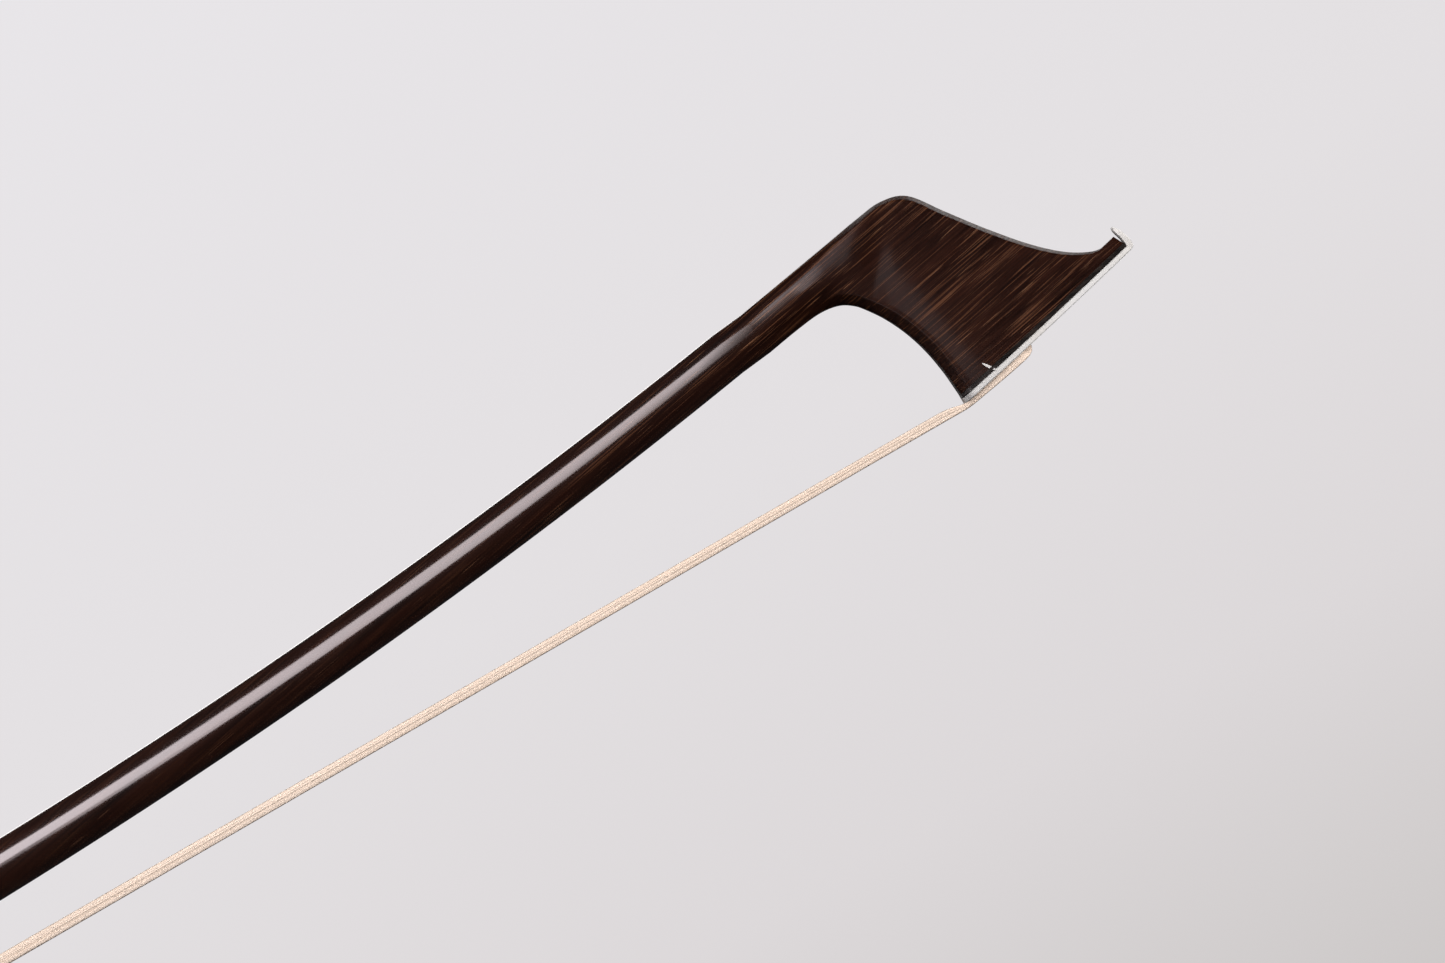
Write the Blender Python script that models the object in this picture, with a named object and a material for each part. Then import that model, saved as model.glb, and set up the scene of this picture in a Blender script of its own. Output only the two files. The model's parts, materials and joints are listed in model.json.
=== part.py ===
"""Violin bow: a cambered stick with its carved head, the hair, and a frog drawn back by a screw.

World frame, metres: +X runs along the hair from the frog to the head, +Z from the hair to the
stick, and the bow is symmetric about Y = 0.  It stands on the ferrule and the hair's head end.
Sizes below are in millimetres.  Side views are drawn in the hair frame: x from the head's heel
towards the tip, z from the middle of the hair.  The handle, frog and button are drawn in the
handle frame: x from the butt end along the handle's axis towards the tip, z away from the hair.
"""
import math

import bmesh
import bpy
from mathutils import Vector

MM = 0.001
GAP = 0.3                      # between neighbouring pieces
THIN_GAP = 0.2                 # between the thin layers of the head and frog

# Camber of the stick
LOW_POINT = -142.0             # where the stick comes closest to the hair
LOW_HEIGHT = 8.7               # its axis above the hair there
TIP_RADIUS = 775.0             # camber behind the head
HANDLE_FRONT = -600.0          # the straight handle starts here
HANDLE_TILT = math.radians(2.24)
BUTT = -704.3
REAR_RADIUS = (LOW_POINT - HANDLE_FRONT) / math.sin(HANDLE_TILT)
HANDLE_FRONT_Z = LOW_HEIGHT + REAR_RADIUS * (1 - math.cos(HANDLE_TILT))
BUTT_Z = HANDLE_FRONT_Z + (HANDLE_FRONT - BUTT) * math.tan(HANDLE_TILT)

# Thickness of the stick
TIP_DIAMETER = 5.38
HANDLE_DIAMETER = 8.6          # across the flats of the octagon
ROUND_FROM = 102.0             # the octagon becomes round between these, from the butt
ROUND_TO = 128.0

# Frog, in the handle frame at rest
FROG_REAR = 12.0
FROG_LENGTH = 45.0
FROG_FRONT = FROG_REAR + FROG_LENGTH
FROG_TOP_HALF = 4.9
FROG_BOTTOM_HALF = 6.2
FERRULE_REAR = FROG_REAR + 30.3
FERRULE_FRONT = FROG_REAR + 45.3
FERRULE_WALL = 0.5
FERRULE_HEIGHT = 7.9
FERRULE_SPRING = 4.1           # the arch of its top starts at this height
FERRULE_HALF = 6.6
HAIR_THICK = 1.05
HAIR_DEPTH = (BUTT_Z - FERRULE_FRONT * math.sin(HANDLE_TILT)) / math.cos(HANDLE_TILT)
FERRULE_BOTTOM = -HAIR_DEPTH - HAIR_THICK / 2 - 0.33 - FERRULE_WALL
FROG_BOTTOM = FERRULE_BOTTOM + 0.5
EYELET_X = FROG_REAR + 27.0
EYE_X = FROG_REAR + 15.5
EYE_Z = -12.6
MORTISE_REAR = FROG_REAR + 13.4
MORTISE_FRONT = FROG_REAR + 22.4

# Screw
SCREW_DIAMETER = 2.8
SCREW_BORE = 3.4
NOSE_DIAMETER = 1.9
BUTTON_FLAT = 8.7
BUTTON_LENGTH = 13.6

# Face of the head: liner and plate lie along one gently curved line
FACE_HEEL = -0.48
FACE_END = 24.05
FACE_Z = 0.78
FACE_SLOPE = 0.213
FACE_CURVE = 0.00065
FACE_ANGLE = math.radians(12.4)
FACE_HALF = 5.0                # widest half-width, at FACE_WIDEST from the heel
FACE_WIDEST = 5.5
FACE_RUN = 19.0
FACE_TAPER = 3.2
CHEEK_LEAN = 0.105             # the cheeks draw together by this much per mm above the face
LINER_THICK = 0.45
PLATE_DROP = 0.66              # from the liner's lower side to the plate's lower side
MORTISE_START = 8.0
MORTISE_END = 15.0
MORTISE_HALF = 2.8
MORTISE_DEPTH = 5.4

# World place of the hair frame
STAND = FERRULE_FRONT * math.sin(HANDLE_TILT) - FERRULE_BOTTOM * math.cos(HANDLE_TILT)
HAIR_Z = STAND - BUTT_Z
HEEL_X = 346.581

# Ribs of the head, from the stick to the face: the throat's point, the outer point, how far
# the section has changed from round to hatchet-shaped, and the front ridge's half-width.
HEAD_RIBS = (
    ((-16.60, 15.98), (-17.48, 21.29), 0.00, 0.6),
    ((-12.70, 16.64), (-13.00, 22.04), 0.10, 0.6),
    ((-9.60, 16.98), (-8.90, 22.72), 0.30, 0.6),
    ((-7.30, 16.66), (-4.60, 23.45), 0.60, 0.5),
    ((-5.75, 15.74), (-0.60, 24.14), 0.85, 0.4),
    ((-4.60, 14.45), (2.60, 24.47), 1.00, 0.35),
    ((-3.50, 12.82), (5.60, 23.52), 1.00, 0.3),
    ((-2.50, 10.86), (8.40, 19.87), 1.00, 0.3),
    ((-1.75, 8.90), (11.40, 15.95), 1.00, 0.3),
    ((-1.20, 6.90), (14.72, 12.04), 1.00, 0.35),
    ((-0.85, 5.00), (17.60, 9.36), 1.00, 0.5),
    ((-0.68, 3.70), (20.00, 7.90), 1.00, 0.9),
    ((-0.60, 2.70), (21.60, 7.52), 1.00, 1.25),
    ((-0.51, 1.70), (23.35, 7.93), 1.00, 1.3),
    ((-0.48, 1.39), (23.93, 6.95), 1.00, 1.35),
)
THROAT_CHAMFER = 1.2
RIDGE_CHAMFER = 0.55
SIDES = 16                     # points round the stick


# ---------------------------------------------------------------- materials and mesh helpers

MATERIALS = {
    "pernambuco": ((0.16, 0.045, 0.02), 0.35, 0.0),
    "ebony": ((0.015, 0.013, 0.012), 0.4, 0.0),
    "bone": ((0.86, 0.83, 0.76), 0.4, 0.0),
    "maple": ((0.62, 0.44, 0.26), 0.6, 0.0),
    "horsehair": ((0.80, 0.70, 0.56), 0.6, 0.0),
    "thread": ((0.45, 0.08, 0.06), 0.8, 0.0),
    "silver": ((0.80, 0.80, 0.80), 0.25, 1.0),
    "leather": ((0.05, 0.035, 0.03), 0.7, 0.0),
    "pearl": ((0.78, 0.82, 0.80), 0.2, 0.1),
    "brass": ((0.72, 0.55, 0.22), 0.35, 1.0),
    "steel": ((0.50, 0.50, 0.52), 0.35, 1.0),
}


def material(name):
    if name in bpy.data.materials:
        return bpy.data.materials[name]
    colour, roughness, metallic = MATERIALS[name]
    made = bpy.data.materials.new(name)
    made.use_nodes = True
    shader = made.node_tree.nodes["Principled BSDF"]
    shader.inputs["Base Color"].default_value = (*colour, 1)
    shader.inputs["Roughness"].default_value = roughness
    shader.inputs["Metallic"].default_value = metallic
    made.diffuse_color = (*colour, 1)
    return made


def add_object(name, mesh, finish, parent=None, smooth=True):
    made = bpy.data.objects.new(name, mesh)
    bpy.context.scene.collection.objects.link(made)
    made.parent = parent
    if finish:
        mesh.materials.append(material(finish))
    if smooth:
        mesh.shade_smooth()
        mesh.set_sharp_from_angle(angle=math.radians(35))
    return made


def empty(name, parent=None, location=(0, 0, 0), tilt=0.0):
    made = bpy.data.objects.new(name, None)
    bpy.context.scene.collection.objects.link(made)
    made.parent = parent
    made.location = Vector(location) * MM
    made.rotation_euler = (0, tilt, 0)
    return made


def mesh_from(name, points, faces):
    """A mesh from points in millimetres, with its faces turned outwards."""
    shape = bmesh.new()
    corners = [shape.verts.new(Vector(point) * MM) for point in points]
    for face in faces:
        shape.faces.new([corners[index] for index in face])
    bmesh.ops.recalc_face_normals(shape, faces=shape.faces)
    mesh = bpy.data.meshes.new(name)
    shape.to_mesh(mesh)
    shape.free()
    return mesh


def loft(name, rings, closed=False, end_cap=None):
    """Join equal rings of points; the ends are capped unless the last ring meets the first."""
    count = len(rings[0])
    points = [point for ring in rings for point in ring]
    spans = len(rings) if closed else len(rings) - 1
    faces = []
    for row in range(spans):
        here = row * count
        there = (row + 1) % len(rings) * count
        for index in range(count):
            after = (index + 1) % count
            faces.append((here + index, here + after, there + after, there + index))
    if not closed:
        last = (len(rings) - 1) * count
        faces.append(tuple(range(count)))
        faces.extend(end_cap(last) if end_cap else [tuple(range(last, last + count))])
    return mesh_from(name, points, faces)


def prism(name, outline, half_width):
    """A side outline of (x, z) points pulled out to both sides; half_width may depend on z."""
    width = half_width if callable(half_width) else lambda z: half_width
    left = [(x, width(z), z) for x, z in outline]
    right = [(x, -width(z), z) for x, z in outline]
    return loft(name, [left, right])


def beam(name, section, start, end):
    """A section of (y, z) points pulled along x."""
    return loft(name, [[(x, y, z) for y, z in section] for x in (start, end)])


def tube(name, outer, inner, start, end):
    """A hollow beam between two sections with the same number of points."""
    rings = [[(x, y, z) for y, z in section]
             for x, section in ((start, outer), (end, outer), (end, inner), (start, inner))]
    return loft(name, rings, closed=True)


def turned(name, profile, closed=False, flats=(), sides=SIDES):
    """A profile of (x, radius) points turned about x; the ones listed in flats are octagonal."""
    rings = []
    for number, (x, radius) in enumerate(profile):
        ring = []
        for index in range(sides):
            angle = 2 * math.pi * index / sides
            corner = number in flats and index % 2 == 1
            reach = radius / math.cos(math.pi / 8) if corner else radius
            ring.append((x, reach * math.sin(angle), -reach * math.cos(angle)))
        rings.append(ring)
    return loft(name, rings, closed)


def box(name, x_span, y_half, z_span):
    (x0, x1), (z0, z1) = x_span, z_span
    return prism(name, [(x0, z0), (x1, z0), (x1, z1), (x0, z1)], y_half)


def modify(target, tool, operation):
    """Cut, fuse or keep the overlap of another object, which stays as a hidden guide."""
    tool.hide_render = True
    tool.display_type = "WIRE"
    change = target.modifiers.new(tool.name, "BOOLEAN")
    change.operation = operation
    change.solver = "EXACT"
    change.object = tool


def cutter(name, mesh, parent):
    return add_object(name, mesh, None, parent, smooth=False)


def octagon(flat):
    """Section of an octagon with the given distance from its axis to each flat."""
    corner = flat / math.cos(math.pi / 8)
    angles = [math.radians(22.5 + 45 * index) for index in range(8)]
    return [(corner * math.sin(angle), -corner * math.cos(angle)) for angle in angles]


def d_section(half, bottom, top, corner):
    """Flat bottom, rounded lower corners, sides upright to the spring, and an arched top."""
    spring = FERRULE_BOTTOM + FERRULE_SPRING
    points = []
    for step in range(4):
        angle = math.radians(-90 + 30 * step)
        points.append((half - corner + corner * math.cos(angle),
                       bottom + corner + corner * math.sin(angle)))
    for step in range(13):
        angle = math.radians(15 * step)
        points.append((half * math.cos(angle), spring + (top - spring) * math.sin(angle)))
    for step in range(4):
        angle = math.radians(180 + 30 * step)
        points.append((-half + corner + corner * math.cos(angle),
                       bottom + corner + corner * math.sin(angle)))
    return points


# ---------------------------------------------------------------- lines of the bow

def camber(x):
    """Height of the stick's axis above the hair, and its slope, at x."""
    if x < HANDLE_FRONT:
        return HANDLE_FRONT_Z + (HANDLE_FRONT - x) * math.tan(HANDLE_TILT), -HANDLE_TILT
    run = x - LOW_POINT
    radius = TIP_RADIUS if run > 0 else REAR_RADIUS
    slope = math.asin(run / radius)
    return LOW_HEIGHT + radius * (1 - math.cos(slope)), slope


def handle_x(distance):
    """Hair-frame x of a point on the handle's axis, given its distance from the butt."""
    return BUTT + distance * math.cos(HANDLE_TILT)


def diameter(x):
    """The stick thickens from the head to the handle, faster near the head."""
    head_start = HEAD_RIBS[0][0][0]
    share = min(1.0, max(0.0, (head_start - x) / (head_start - HANDLE_FRONT)))
    return TIP_DIAMETER + (HANDLE_DIAMETER - TIP_DIAMETER) * share ** 0.9


def stick_ring(x, extra=0.0, shrink=1.0):
    """Section square to the stick: octagonal on the handle, round beyond it."""
    height, slope = camber(x)
    radius = diameter(x) / 2 * shrink + extra
    from_butt = x - BUTT
    octagonal = min(1.0, max(0.0, (ROUND_TO - from_butt) / (ROUND_TO - ROUND_FROM)))
    ring = []
    for index in range(SIDES):
        angle = 2 * math.pi * index / SIDES
        corner = 1 + (1 / math.cos(math.pi / 8) - 1) * octagonal * (index % 2)
        up = -radius * corner * math.cos(angle)
        ring.append((x - up * math.sin(slope), radius * corner * math.sin(angle),
                     height + up * math.cos(slope)))
    return ring


def face_line(x, below=0.0):
    """Height of the liner's lower side at x, or of a layer that lies below it."""
    return FACE_Z + FACE_SLOPE * x + FACE_CURVE * x * x - below / math.cos(FACE_ANGLE)


def face_frame(x, z):
    """Distance along the face from its heel, and above the face."""
    along, up = x - FACE_HEEL, z - face_line(FACE_HEEL)
    return (along * math.cos(FACE_ANGLE) + up * math.sin(FACE_ANGLE),
            up * math.cos(FACE_ANGLE) - along * math.sin(FACE_ANGLE))


def cheek_half(x, z):
    """Half-thickness of the head at a point of its side view."""
    along, above = face_frame(x, z)
    past = along - FACE_WIDEST
    if past > 0:
        plan = FACE_HALF - FACE_TAPER * (past / FACE_RUN) ** 1.35
    else:
        plan = FACE_HALF - 0.012 * past * past
    return plan - CHEEK_LEAN * max(0.0, above)


def smooth_between(keys, position):
    """Catmull-Rom curve through equally spaced keys, each a tuple of numbers."""
    number = min(int(position), len(keys) - 2)
    t = position - number
    last = len(keys) - 1
    around = [keys[min(max(number + step, 0), last)] for step in (-1, 0, 1, 2)]
    result = []
    for a, b, c, d in zip(*around):
        bend = (2 * a - 5 * b + 4 * c - d) * t * t
        twist = (3 * b - a - 3 * c + d) * t ** 3
        result.append(0.5 * (2 * b + (c - a) * t + bend + twist))
    return result


def head_ring(rib, sag):
    """One section of the head, from the throat (first point) to the front ridge and back."""
    x0, z0, x1, z1, hatchet, ridge = rib
    length = math.hypot(x1 - x0, z1 - z0)
    throat = THROAT_CHAMFER / length
    outer_cheek = cheek_half(x1, z1)
    ridge = min(ridge, 0.8 * outer_cheek)
    front = 1 - min(RIDGE_CHAMFER, 1.1 * (outer_cheek - ridge)) / length
    spread = (0, 0, throat, throat + 0.28 * (front - throat), throat + 0.55 * (front - throat),
              throat + 0.8 * (front - throat), front, 1, 1)
    half = []
    for index, u in enumerate(spread):
        round_angle = math.pi * index / 8
        round_u = (1 - math.cos(round_angle)) / 2
        round_w = length / 2 * math.sin(round_angle)
        mixed = round_u + (u - round_u) * hatchet
        x = x0 + (x1 - x0) * mixed
        z = z0 + (z1 - z0) * mixed - 4 * sag * mixed * (1 - mixed)
        cheek = cheek_half(x, z)
        width = (0, cheek - 0.85, cheek, cheek, cheek, cheek, cheek, ridge, 0)[index]
        half.append((x, round_w + (width - round_w) * hatchet, z))
    mirrored = [(x, -y, z) for x, y, z in half[7:0:-1]]
    return half + mirrored


def ribbon(name, stations):
    """A flat strip: each station is its lower point, its upper point and its half-width."""
    rings = [[(xl, w, zl), (xl, -w, zl), (xu, -w, zu), (xu, w, zu)]
             for (xl, zl), (xu, zu), w in stations]
    return loft(name, rings)


# ---------------------------------------------------------------- stick and head

def make_stick(hair_frame, handle):
    rings = [stick_ring(handle_x(distance), shrink=shrink)
             for distance, shrink in ((-0.8, 0.6), (0.0, 0.6), (0.0, 0.9), (0.6, 1.0))]
    handle_end = handle_x(ROUND_TO)
    for step in range(6):
        rings.append(stick_ring(handle_x(ROUND_FROM + (ROUND_TO - ROUND_FROM) * step / 5)))
    first_rib = HEAD_RIBS[0]
    shaft_end = (first_rib[0][0] + first_rib[1][0]) / 2
    steps = 30
    for step in range(1, steps):
        rings.append(stick_ring(handle_end + (shaft_end - handle_end) * step / steps))
    keys = [(*inner, *outer, hatchet, ridge) for inner, outer, hatchet, ridge in HEAD_RIBS]
    last = len(keys) - 1
    positions = [row / 2 for row in range(2 * last - 3)] + [last - 1, last]
    for position in positions:
        sag = 0.1 if position > last - 2 else 0.0
        rings.append(head_ring(smooth_between(keys, position), sag))

    def face_cap(last):
        top = SIDES // 2
        cap = [[last + index for index in (0, 1, 2, SIDES - 2, SIDES - 1)]]
        for index in range(2, top - 2):
            cap.append((last + index, last + index + 1,
                        last + SIDES - index - 1, last + SIDES - index))
        cap.append([last + index for index in (top - 2, top - 1, top, top + 1, top + 2)])
        return cap

    stick = add_object("stick", loft("stick", rings, end_cap=face_cap), "pernambuco", hair_frame)
    bore = turned("screw_bore", [(-2, SCREW_BORE / 2), (40, SCREW_BORE / 2)], sides=12)
    modify(stick, cutter("screw_bore", bore, handle), "DIFFERENCE")
    nose = turned("nose_bore", [(38, NOSE_DIAMETER / 2 + 0.3), (56, NOSE_DIAMETER / 2 + 0.3)],
                  sides=12)
    modify(stick, cutter("nose_bore", nose, handle), "DIFFERENCE")
    slot = box("eyelet_slot", (30.8, 47.5), 2.8, (-6, 3.1))
    modify(stick, cutter("eyelet_slot", slot, handle), "DIFFERENCE")
    return stick


def face_half(x):
    """Half-width of the liner and plate, with the heel's corners cut off."""
    along = face_frame(x, face_line(x))[0]
    heel_cut = 0.85 * max(0.0, 1 - along / THROAT_CHAMFER)
    return cheek_half(x, face_line(x)) - heel_cut


def face_stations(top, bottom, end):
    """Stations of a layer between two depths below the liner's lower side."""
    places = [FACE_HEEL, FACE_HEEL + 0.6, FACE_HEEL + THROAT_CHAMFER]
    places += [FACE_HEEL + THROAT_CHAMFER + (end - FACE_HEEL - THROAT_CHAMFER) * step / 8
               for step in range(1, 9)]
    return [((x, face_line(x, bottom)), (x, face_line(x, top)), face_half(x)) for x in places]


def make_head_fittings(hair_frame, stick):
    liner = add_object("head_liner", ribbon("head_liner", face_stations(-LINER_THICK, 0, FACE_END)),
                       "ebony", hair_frame, smooth=False)

    layer = face_stations(THIN_GAP, PLATE_DROP, FACE_END)
    inner = FACE_END + THIN_GAP
    beak = ((inner + 0.45, 5.90), (inner, 6.15), 1.4), \
           ((inner + 0.62, 6.45), (inner - 0.02, 6.60), 1.4), \
           ((inner + 0.35, 7.60), (inner - 0.27, 7.55), 1.35), \
           ((inner + 0.00, 8.45), (inner - 0.50, 8.20), 1.2), \
           ((inner - 0.35, 8.85), (inner - 0.62, 8.65), 0.9)
    plate = add_object("head_plate", ribbon("head_plate", layer + list(beak)), "bone",
                       hair_frame, smooth=False)

    mortise_frame = empty("head_mortise_frame", hair_frame,
                          (FACE_HEEL, 0, face_line(FACE_HEEL)), -FACE_ANGLE)
    mortise = box("head_mortise", (MORTISE_START, MORTISE_END), MORTISE_HALF,
                  (-3, MORTISE_DEPTH))
    hole = cutter("head_mortise", mortise, mortise_frame)
    for piece in (stick, liner, plate):
        modify(piece, hole, "DIFFERENCE")

    side = MORTISE_HALF - GAP
    wedge = box("head_wedge", (MORTISE_START + 1.9, MORTISE_END - GAP), side, (-0.35, 2.3))
    add_object("head_wedge", wedge, "maple", mortise_frame, smooth=False)
    knot = turned("hair_tip_knot", [(0, 1.8), (0.3, 2.1), (2.0, 2.1), (2.2, 1.8)])
    knot = add_object("hair_tip_knot", knot, "horsehair", mortise_frame)
    knot.location = Vector((MORTISE_START + 3.0, 0, 2.75)) * MM
    knot.rotation_euler = (0, math.radians(-90), 0)
    band = turned("tip_knot_binding", [(0.6, 2.3), (0.6, 2.5), (1.5, 2.5), (1.5, 2.3)],
                  closed=True)
    band = add_object("tip_knot_binding", band, "thread", mortise_frame)
    band.location = knot.location
    band.rotation_euler = knot.rotation_euler


def make_hair(hair_frame):
    """The free hair from the ferrule's mouth to the head, and its end along the plate."""
    half = HAIR_THICK / 2
    inside = 7.2                   # length held in the ferrule
    rear_half, head_half = 4.9, 3.8
    bend = -5.0                    # the straight run ends just short of the heel
    mouth = BUTT + FERRULE_FRONT * math.cos(HANDLE_TILT) - HAIR_DEPTH * math.sin(HANDLE_TILT)
    drop = inside * math.sin(HANDLE_TILT)
    free = [((mouth - inside, drop - half), (mouth - inside, drop + half), rear_half)]
    runs = 12
    for step in range(runs + 1):
        share = step / runs
        x = mouth + (bend - mouth) * share
        free.append(((x, -half), (x, half), rear_half + (head_half - rear_half) * share))
    add_object("hair_ribbon", ribbon("hair_ribbon", free), "horsehair", hair_frame, smooth=False)

    top = PLATE_DROP + THIN_GAP
    held = [((bend + GAP, -half), (bend + GAP, half), head_half),
            ((-1.0, -half), (-1.1, -0.18), head_half),
            ((0.3, -0.50), (0.2, face_line(0.2, top)), 3.75)]
    for x, width in ((2.0, 3.5), (4.0, 3.1), (6.0, 2.7), (7.4, 2.5)):
        held.append(((x, face_line(x, top + 0.6)), (x, face_line(x, top)), width))
    for lower, upper in (((8.3, 1.12), (7.72, 1.72)), ((8.85, 1.60), (8.0, 2.35)),
                         ((8.95, 2.25), (8.05, 3.05))):
        held.append((lower, upper, 2.5))
    add_object("hair_head_end", ribbon("hair_head_end", held), "horsehair", hair_frame,
               smooth=False)


def sleeve(name, finish, hair_frame, start, end, inner, outer, steps):
    """A close sleeve round the stick, between two distances from the butt."""
    places = [handle_x(start + (end - start) * step / steps) for step in range(steps + 1)]
    rings = [stick_ring(x, extra=outer) for x in places]
    rings += [stick_ring(x, extra=inner) for x in reversed(places)]
    return add_object(name, loft(name, rings, closed=True), finish, hair_frame)


# ---------------------------------------------------------------- screw and button

def make_screw(screw_axis):
    button_end = -BUTTON_LENGTH
    shaft = [(button_end + 2.6, SCREW_DIAMETER / 2), (46.0, SCREW_DIAMETER / 2),
             (46.5, NOSE_DIAMETER / 2), (54.0, NOSE_DIAMETER / 2), (54.6, 0.4)]
    add_object("screw_shaft", turned("screw_shaft", shaft), "steel", screw_axis)

    flat = BUTTON_FLAT / 2
    spigot = flat * 0.66
    seat = spigot + THIN_GAP
    front = [(-0.3, flat), (-3.5, flat), (-3.5, seat), (-0.3, seat)]
    add_object("button_front_ring", turned("button_front_ring", front, closed=True, flats=(0, 1)),
               "silver", screw_axis)
    bore = SCREW_BORE / 2
    core = [(-1.3, bore), (-1.3, spigot), (-3.7, spigot), (-3.7, flat - 0.1),
            (-6.4, flat - 0.5), (-9.2, flat - 0.1), (-9.2, spigot), (-11.0, spigot),
            (-11.0, bore)]
    add_object("button_core", turned("button_core", core, closed=True, flats=(3, 4, 5)),
               "ebony", screw_axis)
    rear = [(-9.4, flat), (-12.9, flat), (button_end, flat - 0.7), (button_end, seat),
            (-9.4, seat)]
    add_object("button_rear_ring", turned("button_rear_ring", rear, closed=True, flats=(0, 1, 2)),
               "silver", screw_axis)
    eye = [(-11.3, spigot), (-13.2, spigot), (-13.5, spigot - 0.6)]
    add_object("button_eye", turned("button_eye", eye), "pearl", screw_axis)


# ---------------------------------------------------------------- frog

def frog_half(z):
    """The frog's sides lean in towards the stick."""
    share = (z - FROG_BOTTOM) / (-2.6 - FROG_BOTTOM)
    return FROG_BOTTOM_HALF + (FROG_TOP_HALF - FROG_BOTTOM_HALF) * share


def arc(centre, radius, start, end, steps):
    cx, cz = centre
    angles = [math.radians(start + (end - start) * step / steps) for step in range(steps + 1)]
    return [(cx + radius * math.cos(angle), cz + radius * math.sin(angle)) for angle in angles]


def make_frog_block(frog):
    rear = FROG_REAR + 0.9
    seat = FROG_BOTTOM + 0.9
    ferrule_top = FERRULE_BOTTOM + FERRULE_HEIGHT
    outline = [(rear, -2.6), (rear, seat), (FROG_REAR + 4.6, seat), (FROG_REAR + 4.6, FROG_BOTTOM)]
    outline += [(FERRULE_REAR - GAP, FROG_BOTTOM), (FERRULE_REAR - GAP, ferrule_top)]
    outline += [(FERRULE_REAR + 0.4, ferrule_top + 1.4), (FERRULE_REAR + 1.8, ferrule_top + 3.0),
                (FERRULE_REAR + 4.0, ferrule_top + 4.4), (FERRULE_REAR + 7.0, ferrule_top + 5.3),
                (FERRULE_REAR + 11.0, ferrule_top + 5.8), (FROG_FRONT - 0.7, ferrule_top + 6.1),
                (FROG_FRONT, ferrule_top + 6.7), (FROG_FRONT, -2.6)]
    block = add_object("frog_block", prism("frog_block", outline, frog_half), "ebony", frog,
                       smooth=False)

    wall = FERRULE_WALL + GAP
    tongue_bottom = FERRULE_BOTTOM + FERRULE_WALL + 0.33 + HAIR_THICK + 0.3 + 0.9 + 0.3
    tongue = d_section(FERRULE_HALF - wall, tongue_bottom, ferrule_top - wall, 0.4)
    tongue = beam("tongue", tongue, FERRULE_REAR - 2, FERRULE_FRONT - 0.7)
    modify(block, cutter("tongue", tongue, frog), "UNION")

    channel = beam("stick_channel", octagon(HANDLE_DIAMETER / 2 + 1.0), FROG_REAR - 2,
                   FROG_FRONT + 2)
    modify(block, cutter("stick_channel", channel, frog), "DIFFERENCE")

    slide_top = FROG_BOTTOM + 1.7
    groove = [(-4.3, FROG_BOTTOM - 1), (4.3, FROG_BOTTOM - 1), (4.9, slide_top), (-4.9, slide_top)]
    groove = beam("slide_groove", groove, FROG_REAR + 4.0, FERRULE_REAR + 1)
    modify(block, cutter("slide_groove", groove, frog), "DIFFERENCE")

    mortise = box("hair_mortise", (MORTISE_REAR, MORTISE_FRONT), 4.5, (slide_top - 0.5, -13.4))
    modify(block, cutter("hair_mortise", mortise, frog), "DIFFERENCE")
    passage = box("hair_passage", (MORTISE_FRONT - 1, FERRULE_REAR + 1), 5.0,
                  (slide_top - 0.5, slide_top + 1.5))
    modify(block, cutter("hair_passage", passage, frog), "DIFFERENCE")

    hole = turned("eyelet_hole", [(-13, 1.75), (0, 1.75)], sides=12)
    hole = cutter("eyelet_hole", hole, frog)
    hole.location = Vector((EYELET_X, 0, 0)) * MM
    hole.rotation_euler = (0, math.radians(-90), 0)
    modify(block, hole, "DIFFERENCE")

    for side, sign in (("left", 1), ("right", -1)):
        pocket = turned("eye_pocket", [(3.9, 4.2), (8, 4.2)], sides=24)
        pocket = cutter("eye_pocket_" + side, pocket, frog)
        pocket.location = Vector((EYE_X, 0, EYE_Z)) * MM
        pocket.rotation_euler = (0, 0, sign * math.radians(90))
        modify(block, pocket, "DIFFERENCE")
    return block


def make_ferrule(frog):
    top = FERRULE_BOTTOM + FERRULE_HEIGHT
    outer = d_section(FERRULE_HALF, FERRULE_BOTTOM, top, 0.8)
    inner = d_section(FERRULE_HALF - FERRULE_WALL, FERRULE_BOTTOM + FERRULE_WALL,
                      top - FERRULE_WALL, 0.4)
    add_object("ferrule", tube("ferrule", outer, inner, FERRULE_REAR, FERRULE_FRONT), "silver",
               frog)
    floor = -HAIR_DEPTH + HAIR_THICK / 2 + 0.3
    wedge = box("ferrule_wedge", (FERRULE_REAR + 3.4, FERRULE_FRONT - 1.2), 5.2,
                (floor, floor + 0.9))
    add_object("ferrule_wedge", wedge, "maple", frog, smooth=False)


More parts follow.
